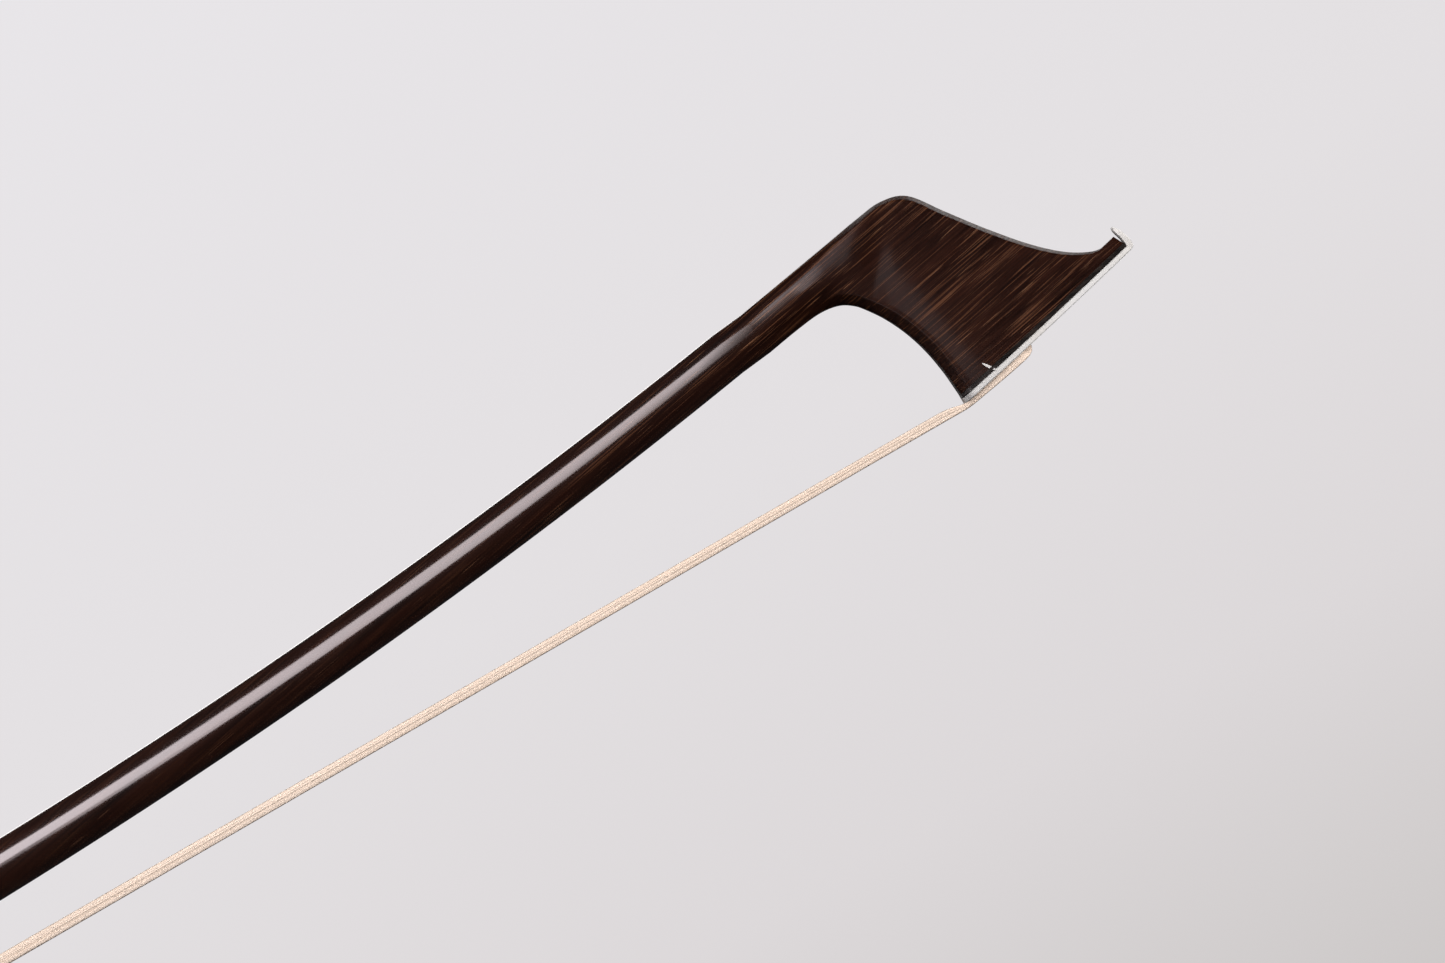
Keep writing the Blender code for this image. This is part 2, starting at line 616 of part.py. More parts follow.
def make_frog_hair(frog):
    """Hair inside the frog: from the ferrule over the slide and up into the frog's mortise."""
    low = -HAIR_DEPTH - HAIR_THICK / 2
    high = FROG_BOTTOM + 1.9
    end = FERRULE_FRONT - 7.2 - GAP
    stations = [((end, low), (end, low + 0.9), 4.7),
                ((FERRULE_REAR + 3.6, low), (FERRULE_REAR + 2.8, low + 0.9), 4.7),
                ((FERRULE_REAR + 0.2, high), (FERRULE_REAR - 0.2, high + 0.8), 4.6),
                ((MORTISE_FRONT + 0.2, high), (MORTISE_FRONT - 0.2, high + 0.8), 4.2),
                ((MORTISE_FRONT - 1.4, high + 0.4), (MORTISE_FRONT - 0.6, high + 1.2), 4.1)]
    add_object("hair_frog_end", ribbon("hair_frog_end", stations), "horsehair", frog,
               smooth=False)

    knot = turned("hair_frog_knot", [(0, 2.2), (0.4, 2.6), (2.4, 2.6), (2.7, 2.2)])
    knot = add_object("hair_frog_knot", knot, "horsehair", frog)
    knot.location = Vector((MORTISE_FRONT - 3.3, 0, high + 1.6)) * MM
    knot.rotation_euler = (0, math.radians(-90), 0)
    band = turned("frog_knot_binding", [(0.8, 2.8), (0.8, 3.0), (1.9, 3.0), (1.9, 2.8)],
                  closed=True)
    band = add_object("frog_knot_binding", band, "thread", frog)
    band.location = knot.location
    band.rotation_euler = knot.rotation_euler
    wedge = box("frog_wedge", (MORTISE_REAR + GAP, MORTISE_FRONT - 6.6), 4.1,
                (FROG_BOTTOM + 1.9, -13.7))
    add_object("frog_wedge", wedge, "maple", frog, smooth=False)


def make_slide(frog):
    start, end = FROG_REAR + 4.9, FERRULE_REAR - 0.3
    lean = 0.6 / 2.7

    def layer(low, high):
        half = [4.0 + lean * (z - FROG_BOTTOM) for z in (low, high)]
        return [(-half[0], low), (half[0], low), (half[1], high), (-half[1], high)]

    pearl = layer(FROG_BOTTOM, FROG_BOTTOM + 0.7)
    add_object("pearl_slide", beam("pearl_slide", pearl, start, end), "pearl", frog, smooth=False)
    backing = layer(FROG_BOTTOM + 0.9, FROG_BOTTOM + 1.5)
    add_object("slide_backing", beam("slide_backing", backing, start, end), "ebony", frog,
               smooth=False)


def make_frog_metal(frog, block):
    """Silver plates at the frog's rear, the lining under the stick, and their fastenings."""
    split = FROG_BOTTOM + 6.0
    heel = [(FROG_REAR, split), (FROG_REAR + 0.6, split), (FROG_REAR + 0.6, FROG_BOTTOM + 0.6),
            (FROG_REAR + 4.3, FROG_BOTTOM + 0.6), (FROG_REAR + 4.3, FROG_BOTTOM)]
    heel += arc((FROG_REAR + 1.0, FROG_BOTTOM + 1.0), 1.0, 270, 180, 5)
    heel_plate = add_object("heel_plate", prism("heel_plate", heel, frog_half), "silver", frog)
    back = [(FROG_REAR, split + 0.2), (FROG_REAR, -2.6), (FROG_REAR + 0.6, -2.6),
            (FROG_REAR + 0.6, split + 0.2)]
    back_plate = add_object("back_plate", prism("back_plate", back, frog_half), "silver", frog)
    notch = beam("plate_notch", octagon(HANDLE_DIAMETER / 2 + 0.3), FROG_REAR - 1, FROG_REAR + 2)
    modify(back_plate, cutter("plate_notch", notch, frog), "DIFFERENCE")

    for plate, height in ((heel_plate, FROG_BOTTOM + 4.0), (back_plate, -7.2)):
        for side, y in (("left", 3.2), ("right", -3.2)):
            place = Vector((0, y, height)) * MM
            name = f"{plate.name}_pin_{side}"
            hole = turned("pin_hole", [(FROG_REAR - 1, 0.65), (FROG_REAR + 3.7, 0.65)], sides=8)
            hole = cutter(name + "_hole", hole, frog)
            hole.location = place
            modify(plate, hole, "DIFFERENCE")
            modify(block, hole, "DIFFERENCE")
            pin = turned(name, [(FROG_REAR - 0.05, 0.4), (FROG_REAR + 3.4, 0.4)], sides=8)
            add_object(name, pin, "silver", frog).location = place

    inner, outer = HANDLE_DIAMETER / 2 + 0.3, HANDLE_DIAMETER / 2 + 0.7
    edge = 4.55
    section = []
    for flat, direction in ((outer, 1), (inner, -1)):
        corner = flat * math.tan(math.pi / 8)
        side = flat * math.sqrt(2) - edge
        points = [(-edge, -side), (-corner, -flat), (corner, -flat), (edge, -side)]
        section += points[::direction]
    lining = beam("underslide", section, FROG_REAR + 0.9, FROG_FRONT - 0.2)
    lining = add_object("underslide", lining, "silver", frog, smooth=False)
    hole = turned("lining_hole", [(-8, 1.95), (0, 1.95)], sides=12)
    hole = cutter("lining_hole", hole, frog)
    hole.location = Vector((EYELET_X, 0, 0)) * MM
    hole.rotation_euler = (0, math.radians(-90), 0)
    modify(lining, hole, "DIFFERENCE")

    for end, x in (("rear", FROG_REAR + 5.0), ("front", FROG_FRONT - 4.5)):
        name = "underslide_screw_" + end
        hole = turned("lining_screw_hole", [(-7.0, 0.8), (-outer - 0.1, 0.8), (-outer, 1.3),
                                            (0, 1.3)], sides=8)
        hole = cutter(name + "_hole", hole, frog)
        modify(lining, hole, "DIFFERENCE")
        modify(block, hole, "DIFFERENCE")
        screw = turned(name, [(-6.7, 0.5), (-outer + 0.05, 0.5), (-outer + 0.15, 1.0),
                              (-inner - 0.05, 1.0)], sides=8)
        for piece in (hole, add_object(name, screw, "silver", frog)):
            piece.location = Vector((x, 0, 0)) * MM
            piece.rotation_euler = (0, math.radians(-90), 0)


def make_eyes(frog):
    """A pearl disc in a silver ring on each cheek of the frog."""
    surface = frog_half(EYE_Z)
    for side, sign in (("left", 1), ("right", -1)):
        pearl = turned("eye_pearl", [(4.2, 2.9), (surface + 0.05, 2.9), (surface + 0.15, 2.5)],
                       sides=24)
        ring = turned("eye_ring", [(4.2, 3.2), (4.2, 3.9), (surface + 0.1, 3.9),
                                   (surface + 0.1, 3.2)], closed=True, sides=24)
        for part, mesh, finish in (("eye_pearl_", pearl, "pearl"), ("eye_ring_", ring, "silver")):
            eye = add_object(part + side, mesh, finish, frog)
            eye.location = Vector((EYE_X, 0, EYE_Z)) * MM
            eye.rotation_euler = (0, 0, sign * math.radians(90))


def make_eyelet(frog):
    """The brass nut on the screw, with its shank in the frog."""
    head = box("eyelet", (EYELET_X - 2.7, EYELET_X + 2.7), 2.5, (-3.0, 2.6))
    eyelet = add_object("eyelet", head, "brass", frog, smooth=False)
    shank = turned("eyelet_shank", [(-12.2, 1.4), (-2.5, 1.4)], sides=12)
    shank = cutter("eyelet_shank", shank, frog)
    shank.location = Vector((EYELET_X, 0, 0)) * MM
    shank.rotation_euler = (0, math.radians(-90), 0)
    modify(eyelet, shank, "UNION")
    thread = turned("eyelet_thread", [(EYELET_X - 4, 1.65), (EYELET_X + 4, 1.65)], sides=12)
    modify(eyelet, cutter("eyelet_thread", thread, frog), "DIFFERENCE")


# ---------------------------------------------------------------- the bow

def main():
    for item in list(bpy.data.objects):
        bpy.data.objects.remove(item)

    hair_frame = empty("hair_frame", None, (HEEL_X, 0, HAIR_Z))
    handle = empty("handle_frame", hair_frame, (BUTT, 0, BUTT_Z), HANDLE_TILT)
    screw_axis = empty("screw_axis", handle)
    frog = empty("frog_frame", handle)

    stick = make_stick(hair_frame, handle)
    make_head_fittings(hair_frame, stick)
    make_hair(hair_frame)
    leather_start = FROG_FRONT + 0.6
    leather_end = leather_start + 25
    sleeve("thumb_leather", "leather", hair_frame, leather_start, leather_end, 0.3, 1.2, 2)
    sleeve("winding", "silver", hair_frame, leather_end + 0.3, leather_end + 75, 0.3, 0.65, 6)

    make_screw(screw_axis)
    block = make_frog_block(frog)
    make_ferrule(frog)
    make_frog_hair(frog)
    make_slide(frog)
    make_frog_metal(frog, block)
    make_eyes(frog)
    make_eyelet(frog)


main()
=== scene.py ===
"""Looks of the violin bow: wood, hair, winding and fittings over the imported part, and a soft studio.

Sizes are in millimetres.  Side views are drawn in the hair frame: s from the head's heel towards
the tip, h from the middle of the hair.  The handle, frog and button are drawn in the handle frame:
d from the butt end along the handle's axis towards the tip, z away from the hair.
"""

import json
import math

import bmesh
import bpy
import numpy as np
from mathutils import Matrix, Vector


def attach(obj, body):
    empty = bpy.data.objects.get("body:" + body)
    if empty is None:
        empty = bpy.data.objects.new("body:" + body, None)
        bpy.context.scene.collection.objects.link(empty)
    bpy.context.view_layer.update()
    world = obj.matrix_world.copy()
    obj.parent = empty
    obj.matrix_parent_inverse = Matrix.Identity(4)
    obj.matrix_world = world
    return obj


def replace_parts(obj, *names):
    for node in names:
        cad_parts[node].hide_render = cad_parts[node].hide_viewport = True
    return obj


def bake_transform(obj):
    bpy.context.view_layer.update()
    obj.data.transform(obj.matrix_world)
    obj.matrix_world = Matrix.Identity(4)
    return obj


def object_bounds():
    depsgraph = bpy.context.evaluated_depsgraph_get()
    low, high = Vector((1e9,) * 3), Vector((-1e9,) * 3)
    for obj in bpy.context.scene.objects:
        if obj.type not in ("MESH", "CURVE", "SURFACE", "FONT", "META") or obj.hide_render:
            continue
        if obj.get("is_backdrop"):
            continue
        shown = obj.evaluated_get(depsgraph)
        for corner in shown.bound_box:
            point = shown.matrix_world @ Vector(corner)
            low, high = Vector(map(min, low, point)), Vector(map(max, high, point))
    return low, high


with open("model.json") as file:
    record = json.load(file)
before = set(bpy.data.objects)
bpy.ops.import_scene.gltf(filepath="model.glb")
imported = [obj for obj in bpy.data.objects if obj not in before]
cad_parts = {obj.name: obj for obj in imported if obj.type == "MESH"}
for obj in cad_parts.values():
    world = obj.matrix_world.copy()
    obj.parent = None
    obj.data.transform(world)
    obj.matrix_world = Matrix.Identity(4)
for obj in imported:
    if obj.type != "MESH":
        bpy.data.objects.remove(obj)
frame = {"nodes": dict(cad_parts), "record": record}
size_at_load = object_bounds()

MM = 0.001
HEEL_X, HAIR_Z = 346.581, 1.354

# ---------------------------------------------------------------- lines of the bow

LOW_POINT, LOW_HEIGHT, TIP_RADIUS = -142.0, 8.7, 775.0
HANDLE_FRONT, BUTT = -600.0, -704.3
HANDLE_TILT = math.radians(2.24)
REAR_RADIUS = (LOW_POINT - HANDLE_FRONT) / math.sin(HANDLE_TILT)
HANDLE_FRONT_Z = LOW_HEIGHT + REAR_RADIUS * (1 - math.cos(HANDLE_TILT))
BUTT_Z = HANDLE_FRONT_Z + (HANDLE_FRONT - BUTT) * math.tan(HANDLE_TILT)
TIP_DIAMETER, HANDLE_DIAMETER = 5.38, 8.6
ROUND_FROM, ROUND_TO = 102.0, 128.0

FROG_REAR, FROG_FRONT = 12.0, 57.0
FERRULE_REAR, FERRULE_FRONT = FROG_REAR + 30.3, FROG_REAR + 45.3
HAIR_DEPTH = (BUTT_Z - FERRULE_FRONT * math.sin(HANDLE_TILT)) / math.cos(HANDLE_TILT)
FERRULE_BOTTOM = -HAIR_DEPTH - 1.355
FERRULE_HALF, FERRULE_HEIGHT = 6.6, 7.9
FERRULE_SPRING = 4.1           # the arch of its top starts at this height
FERRULE_WALL = 0.5
FROG_BOTTOM, FROG_BOTTOM_HALF = FERRULE_BOTTOM + 0.5, 6.2
FROG_TOP, FROG_TOP_HALF = -2.6, 4.9
EYE_D, EYE_Z = FROG_REAR + 15.5, -12.6
BUTTON_FLAT = 8.7

SCREW_BORE, SCREW_BORE_DEPTH = 3.4, 40.0
FROG_MORTISE = (30.8, 47.5), 2.8, (-6.0, 3.1)      # along, half across, height
HEAD_MORTISE = (8.0, 15.0), 2.8, (-3.0, 5.4)

FACE_HEEL, FACE_END = -0.48, 24.05
FACE_Z, FACE_SLOPE, FACE_CURVE = 0.78, 0.213, 0.00065
FACE_ANGLE = math.radians(12.4)
FACE_HALF, FACE_WIDEST = 5.0, 5.5              # widest half-width, and its place from the heel
FACE_RUN, FACE_TAPER = 19.0, 3.2
CHEEK_LEAN = 0.105                             # the cheeks close by this much per mm of height
PLATE_DROP = 0.66

# The head's ribs: throat point, outer point, share of hatchet shape, half-width of the ridge.
# The last two reach down to the liner.
HEAD_RIBS = (
    ((-16.60, 15.98), (-17.48, 21.29), 0.00, 0.6),
    ((-12.70, 16.64), (-13.00, 22.04), 0.10, 0.6),
    ((-9.60, 16.98), (-8.90, 22.72), 0.30, 0.6),
    ((-7.30, 16.66), (-4.60, 23.45), 0.60, 0.5),
    ((-5.75, 15.74), (-0.60, 24.14), 0.85, 0.4),
    ((-4.60, 14.45), (2.60, 24.47), 1.00, 0.35),
    ((-3.50, 12.82), (5.60, 23.52), 1.00, 0.3),
    ((-2.50, 10.86), (8.40, 19.87), 1.00, 0.3),
    ((-1.75, 8.90), (11.40, 15.95), 1.00, 0.3),
    ((-1.20, 6.90), (14.72, 12.04), 1.00, 0.35),
    ((-0.85, 5.00), (17.60, 9.36), 1.00, 0.5),
    ((-0.68, 3.70), (20.00, 7.90), 1.00, 0.9),
    ((-0.60, 2.70), (21.60, 7.52), 1.00, 1.25),
    ((-0.51, 1.60), (23.35, 7.93), 1.00, 1.3),
    ((-0.48, 1.10), (23.98, 6.72), 1.00, 1.35),
)
THROAT_CHAMFER, THROAT_BEVEL, RIDGE_CHAMFER = 1.2, 0.85, 0.55


def hair_point(s, y, h):
    return ((s + HEEL_X) * MM, y * MM, (h + HAIR_Z) * MM)


def handle_point(d, y, z):
    return hair_point(BUTT + d * math.cos(HANDLE_TILT) + z * math.sin(HANDLE_TILT), y,
                      BUTT_Z - d * math.sin(HANDLE_TILT) + z * math.cos(HANDLE_TILT))


def camber(s):
    """Height of the stick's axis above the hair, and its slope."""
    if s < HANDLE_FRONT:
        return HANDLE_FRONT_Z + (HANDLE_FRONT - s) * math.tan(HANDLE_TILT), -HANDLE_TILT
    run = s - LOW_POINT
    radius = TIP_RADIUS if run > 0 else REAR_RADIUS
    slope = math.asin(run / radius)
    return LOW_HEIGHT + radius * (1 - math.cos(slope)), slope


def handle_s(d):
    return BUTT + d * math.cos(HANDLE_TILT)


def diameter(s):
    head_start = HEAD_RIBS[0][0][0]
    share = min(1.0, max(0.0, (head_start - s) / (head_start - HANDLE_FRONT)))
    return TIP_DIAMETER + (HANDLE_DIAMETER - TIP_DIAMETER) * share ** 0.9


def face_line(s, below=0.0):
    """Height of the liner's lower side, or of a layer below it."""
    return FACE_Z + FACE_SLOPE * s + FACE_CURVE * s * s - below / math.cos(FACE_ANGLE)


def face_frame(s, h):
    along, up = s - FACE_HEEL, h - face_line(FACE_HEEL)
    return (along * math.cos(FACE_ANGLE) + up * math.sin(FACE_ANGLE),
            up * math.cos(FACE_ANGLE) - along * math.sin(FACE_ANGLE))


def cheek_half(s, h):
    """Half-thickness of the head at a point of its side view."""
    along, above = face_frame(s, h)
    past = along - FACE_WIDEST
    narrowing = FACE_TAPER * (past / FACE_RUN) ** 1.35 if past > 0 else 0.012 * past * past
    return FACE_HALF - narrowing - CHEEK_LEAN * max(0.0, above)


def curve_through(keys, position):
    """Catmull-Rom curve through equally spaced rows of numbers."""
    number = min(int(position), len(keys) - 2)
    t = position - number
    a, b, c, d = (np.asarray(keys[min(max(number + step, 0), len(keys) - 1)], float)
                  for step in (-1, 0, 1, 2))
    return 0.5 * (2 * b + (c - a) * t + (2 * a - 5 * b + 4 * c - d) * t ** 2
                  + (3 * b - a - 3 * c + d) * t ** 3)


# ---------------------------------------------------------------- meshes

def piece(name, points, faces, finish, body, sharp=40.0):
    """A closed mesh in metres, riding on a body, in the finish of one material slot."""
    mesh = bpy.data.meshes.new(name)
    mesh.from_pydata([tuple(point) for point in points], [], faces)
    shape = bmesh.new()
    shape.from_mesh(mesh)
    bmesh.ops.recalc_face_normals(shape, faces=shape.faces)
    shape.to_mesh(mesh)
    shape.free()
    made = bpy.data.objects.new(name, mesh)
    bpy.context.scene.collection.objects.link(made)
    mesh.materials.append(MATERIALS[finish])
    mesh.shade_smooth()
    mesh.set_sharp_from_angle(angle=math.radians(sharp))
    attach(made, body)
    return made


def loft_faces(rows, count, closed=False, end_cap=None):
    faces = []
    for row in range(rows if closed else rows - 1):
        here, there = row * count, (row + 1) % rows * count
        for index in range(count):
            after = (index + 1) % count
            faces.append((here + index, here + after, there + after, there + index))
    if not closed:
        last = (rows - 1) * count
        faces.append(tuple(range(count)))
        faces += end_cap(last) if end_cap else [tuple(range(last, last + count))]
    return faces


def loft(name, rings, finish, body, closed=False, end_cap=None, sharp=40.0):
    points = [point for ring in rings for point in ring]
    faces = loft_faces(len(rings), len(rings[0]), closed, end_cap)
    return piece(name, points, faces, finish, body, sharp)


def rounded_profile(profile, radius, closed, steps=3):
    """Round the corners of an (x, radius) profile, all but the two ends of an open one."""
    result = []
    count = len(profile)
    for index, corner in enumerate(profile):
        corner = np.array(corner, float)
        if not closed and index in (0, count - 1):
            result.append(tuple(corner))
            continue
        before = np.array(profile[index - 1], float) - corner
        after = np.array(profile[(index + 1) % count], float) - corner
        lengths = np.linalg.norm(before), np.linalg.norm(after)
        cut = min(radius, 0.4 * lengths[0], 0.4 * lengths[1])
        start, end = corner + before / lengths[0] * cut, corner + after / lengths[1] * cut
        for step in range(steps + 1):
            t = step / steps
            result.append(tuple((1 - t) ** 2 * start + 2 * t * (1 - t) * corner + t * t * end))
    return result


def octagon_reach(angle, share=1.0):
    """Radius of a unit octagon with flats at 0, 45, ... degrees, its corners slightly rounded."""
    off = (angle + math.pi / 8) % (math.pi / 4) - math.pi / 8
    return 1 + (min(1 / math.cos(off), 1.07) - 1) * share


def turned(name, profile, finish, body, place, closed=False, flats=None, round_to=0.12):
    """A profile turned about the x axis of place, a function of (x, y, z) in millimetres."""
    sides = 64
    rings = []
    for x, radius in rounded_profile(profile, round_to, closed):
        ring = []
        for index in range(sides):
            angle = 2 * math.pi * index / sides
            shape = flats(x, radius) if flats else 0.0
            reach = radius * octagon_reach(angle, shape)
            ring.append(place(x, reach * math.sin(angle), -reach * math.cos(angle)))
        rings.append(ring)
    return loft(name, rings, finish, body, closed)


def ribbon_rings(stations, bevel, fine=1):
    """Rings of a flat strip with bevelled edges; each station is (s, h) below, above, half-width."""
    rings = []
    keys = [(*lower, *upper, half) for lower, upper, half in stations]
    positions = np.linspace(0, len(keys) - 1, (len(keys) - 1) * fine + 1)
    for position in positions:
        sl, hl, su, hu, half = curve_through(keys, position)
        thick = math.hypot(su - sl, hu - hl)
        share = min(0.35, bevel / thick)
        inset = min(bevel, 0.3 * half)
        ring = []
        for side in (1, -1):
            for v, y in ((0, half - inset), (share, half), (1 - share, half), (1, half - inset))[::side]:
                ring.append(hair_point(sl + (su - sl) * v, side * y, hl + (hu - hl) * v))
        rings.append(ring)
    return rings


def boxed(x_span, y_half, z_span, place):
    (x0, x1), (z0, z1) = x_span, z_span
    points = [place(x, y, z) for x in (x0, x1) for y in (-y_half, y_half) for z in (z0, z1)]
    faces = [(0, 1, 3, 2), (4, 6, 7, 5), (0, 4, 5, 1), (2, 3, 7, 6), (0, 2, 6, 4), (1, 5, 7, 3)]
    return points, faces


def cut_box(target, x_span, y_half, z_span, place):
    """Cut a box out of a piece for good."""
    points, faces = boxed(x_span, y_half, z_span, place)
    mesh = bpy.data.meshes.new("box")
    mesh.from_pydata(points, [], faces)
    tool = bpy.data.objects.new("box", mesh)
    bpy.context.scene.collection.objects.link(tool)
    change = target.modifiers.new("box", "BOOLEAN")
    change.operation, change.solver, change.object = "DIFFERENCE", "EXACT", tool
    bpy.context.view_layer.update()
    done = target.evaluated_get(bpy.context.evaluated_depsgraph_get())
    mesh = bpy.data.meshes.new_from_object(done)
    target.modifiers.clear()
    target.data = mesh
    bpy.data.objects.remove(tool)


def face_place(x, y, z):
    """A point of the head's face frame: along the face, across, and above it."""
    c, s = math.cos(FACE_ANGLE), math.sin(FACE_ANGLE)
    return hair_point(FACE_HEEL + x * c - z * s, y, face_line(FACE_HEEL) + x * s + z * c)


# ---------------------------------------------------------------- materials

class Finish:
    """A material built from nodes, in millimetres of the bow's own space."""

    def __init__(self, name, roughness=0.5, metallic=0.0, specular=0.5, coat=0.0,
                 coat_roughness=0.1):
        self.material = bpy.data.materials.new(name)
        self.material.use_nodes = True
        self.tree = self.material.node_tree
        self.shader = self.tree.nodes["Principled BSDF"]
        for socket, value in (("Roughness", roughness), ("Metallic", metallic),
                              ("Specular IOR Level", specular), ("Coat Weight", coat),
                              ("Coat Roughness", coat_roughness)):
            self.shader.inputs[socket].default_value = value
        self.space = self.tree.nodes.new("ShaderNodeTexCoord").outputs["Object"]

    def node(self, kind, inputs=None, **settings):
        made = self.tree.nodes.new("ShaderNode" + kind)
        for key, value in settings.items():
            setattr(made, key, value)
        for key, value in (inputs or {}).items():
            if isinstance(value, bpy.types.NodeSocket):
                self.tree.links.new(value, made.inputs[key])
            else:
                made.inputs[key].default_value = value
        return made

    def along(self):
        """The place along the bow, in metres."""
        return self.node("SeparateXYZ", {"Vector": self.space}).outputs["X"]

    def stretched(self, size, tilt=0.0):
        """Coordinates in which one unit is size = (x, y, z) millimetres."""
        return self.node("Mapping", {"Vector": self.space, "Rotation": (0, -tilt, 0),
                                     "Scale": tuple(value * MM for value in size)},
                         vector_type="TEXTURE").outputs["Vector"]

    def noise(self, size, detail=2.0, rough=0.5, tilt=0.0, distortion=0.0):
        return self.node("TexNoise", {"Vector": self.stretched(size, tilt), "Scale": 1.0,
                                      "Detail": detail, "Roughness": rough,
                                      "Distortion": distortion}).outputs["Fac"]

    def cells(self, size):
        return self.node("TexVoronoi", {"Vector": self.stretched(size), "Scale": 1.0}
                         ).outputs["Distance"]

    def range(self, value, low, high, to_low=0.0, to_high=1.0):
        return self.node("MapRange", {"Value": value, "From Min": low, "From Max": high,
                                      "To Min": to_low, "To Max": to_high}).outputs["Result"]

    def blend(self, factor, first, second):
        mix = self.node("Mix", data_type="RGBA")
        for socket, value in ((mix.inputs[0], factor), (mix.inputs[6], first),
                              (mix.inputs[7], second)):
            if isinstance(value, bpy.types.NodeSocket):
                self.tree.links.new(value, socket)
            elif isinstance(value, tuple):
                socket.default_value = (*value, 1)
            else:
                socket.default_value = value
        return mix.outputs[2]

    def ramp(self, factor, stops):
        ramp = self.node("ValToRGB", {"Fac": factor}).color_ramp
        while len(ramp.elements) < len(stops):
            ramp.elements.new(0.5)
        for element, (place, colour) in zip(ramp.elements, stops):
            element.position, element.color = place, (*colour, 1)
        return self.tree.nodes[-1].outputs["Color"]

    def set(self, socket, value):
        self.tree.links.new(value, self.shader.inputs[socket])

    def bump(self, height, depth, strength=1.0):
        """Relief of the given depth in millimetres; several calls add up."""
        inputs = {"Height": height, "Distance": depth * MM, "Strength": strength}
        linked = self.shader.inputs["Normal"].links
        if linked:
            inputs["Normal"] = linked[0].from_socket
        self.set("Normal", self.node("Bump", inputs).outputs["Normal"])


def make_pernambuco():
    made = Finish("pernambuco", roughness=0.5, specular=0.05, coat=1.0, coat_roughness=0.15)
    made.shader.inputs["Coat IOR"].default_value = 1.65
    tilt = math.radians(11)
    broad = made.noise((55, 1.3, 1.3), 3, 0.6, tilt)
    fine = made.noise((18, 1.2, 0.2), 2, 0.5, tilt)
    pores = made.noise((12, 1.6, 0.12), 1.5, 0.55, tilt)
    flecks = made.noise((6, 1.6, 0.13), 1, 0.5, tilt)
    figure = made.range(made.along(), 0.28, 0.335, 0.2, 0.8)
    base = made.blend(made.range(broad, 0.35, 0.68), (0.0032, 0.0007, 0.0003),
                      (0.0115, 0.0026, 0.0009))
    base = made.blend(made.range(fine, 0.42, 0.72, 0, 0.65), base, (0.018, 0.0050, 0.0021))
    base = made.blend(made.range(pores, 0.58, 0.68, 0, figure), base, (0.078, 0.030, 0.013))
    base = made.blend(made.range(flecks, 0.70, 0.78, 0, figure), base, (0.165, 0.076, 0.037))
    made.set("Base Color", base)
    made.set("Roughness", made.range(fine, 0.3, 0.7, 0.40, 0.55))
    made.set("Coat Weight", made.range(made.along(), 0.322, 0.340, 1.0, 0.04))
    made.bump(pores, 0.012, 0.3)
    return made.material


def make_ebony():
    made = Finish("ebony", roughness=0.34, specular=0.25)
    streak = made.noise((14, 0.3, 0.3), 3, 0.6)
    pores = made.noise((1.8, 0.09, 0.09), 1, 0.5)
    base = made.blend(made.range(streak, 0.4, 0.75), (0.0042, 0.0036, 0.0034),
                      (0.016, 0.0115, 0.009))
    made.set("Base Color", base)
    made.set("Roughness", made.range(streak, 0.3, 0.7, 0.28, 0.42))
    made.bump(made.range(pores, 0.62, 0.75, 1, 0), 0.03, 0.4)
    return made.material


def make_bone():
    made = Finish("bone", roughness=0.38, specular=0.3)
    fibres = made.noise((5, 0.22, 0.22), 3, 0.6)
    cloud = made.noise((6, 4, 4), 2, 0.5)
    base = made.blend(made.range(cloud, 0.35, 0.7), (0.50, 0.49, 0.475), (0.475, 0.455, 0.425))
    base = made.blend(made.range(fibres, 0.60, 0.74, 0, 0.2), base, (0.38, 0.34, 0.28))
    made.set("Base Color", base)
    made.set("Roughness", made.range(fibres, 0.3, 0.7, 0.3, 0.48))
    made.bump(fibres, 0.002, 0.1)
    return made.material


def make_maple():
    made = Finish("maple", roughness=0.65, specular=0.3)
    grain = made.noise((8, 0.35, 0.5), 3, 0.6)
    made.set("Base Color", made.blend(made.range(grain, 0.35, 0.7), (0.60, 0.41, 0.23),
                                      (0.42, 0.26, 0.13)))
    made.bump(grain, 0.02, 0.4)
    return made.material


def make_horsehair():
    made = Finish("horsehair", roughness=0.5, specular=0.25)
    strand = made.noise((90, 0.22, 0.22), 2, 0.6)
    long = made.noise((35, 0.9, 0.5), 2, 0.5)
    dust = made.noise((0.5, 0.12, 0.12), 2, 0.6)
    base = made.blend(made.range(strand, 0.35, 0.68), (0.63, 0.505, 0.405), (0.70, 0.575, 0.475))
    base = made.blend(made.range(long, 0.35, 0.7, 0, 0.4), base, (0.67, 0.53, 0.415))
    base = made.blend(made.range(dust, 0.6, 0.72, 0, 0.1), base, (0.76, 0.70, 0.63))
    made.set("Base Color", base)
    made.set("Roughness", made.range(dust, 0.4, 0.7, 0.45, 0.65))
    made.bump(strand, 0.004, 0.2)
    return made.material


def make_thread():
    made = Finish("thread", roughness=0.75, specular=0.2)
    twist = made.noise((0.25, 0.25, 0.25), 2, 0.5)
    made.set("Base Color", made.blend(made.range(twist, 0.35, 0.7), (0.20, 0.018, 0.016),
                                      (0.42, 0.06, 0.045)))
    made.bump(twist, 0.05, 0.6)
    return made.material


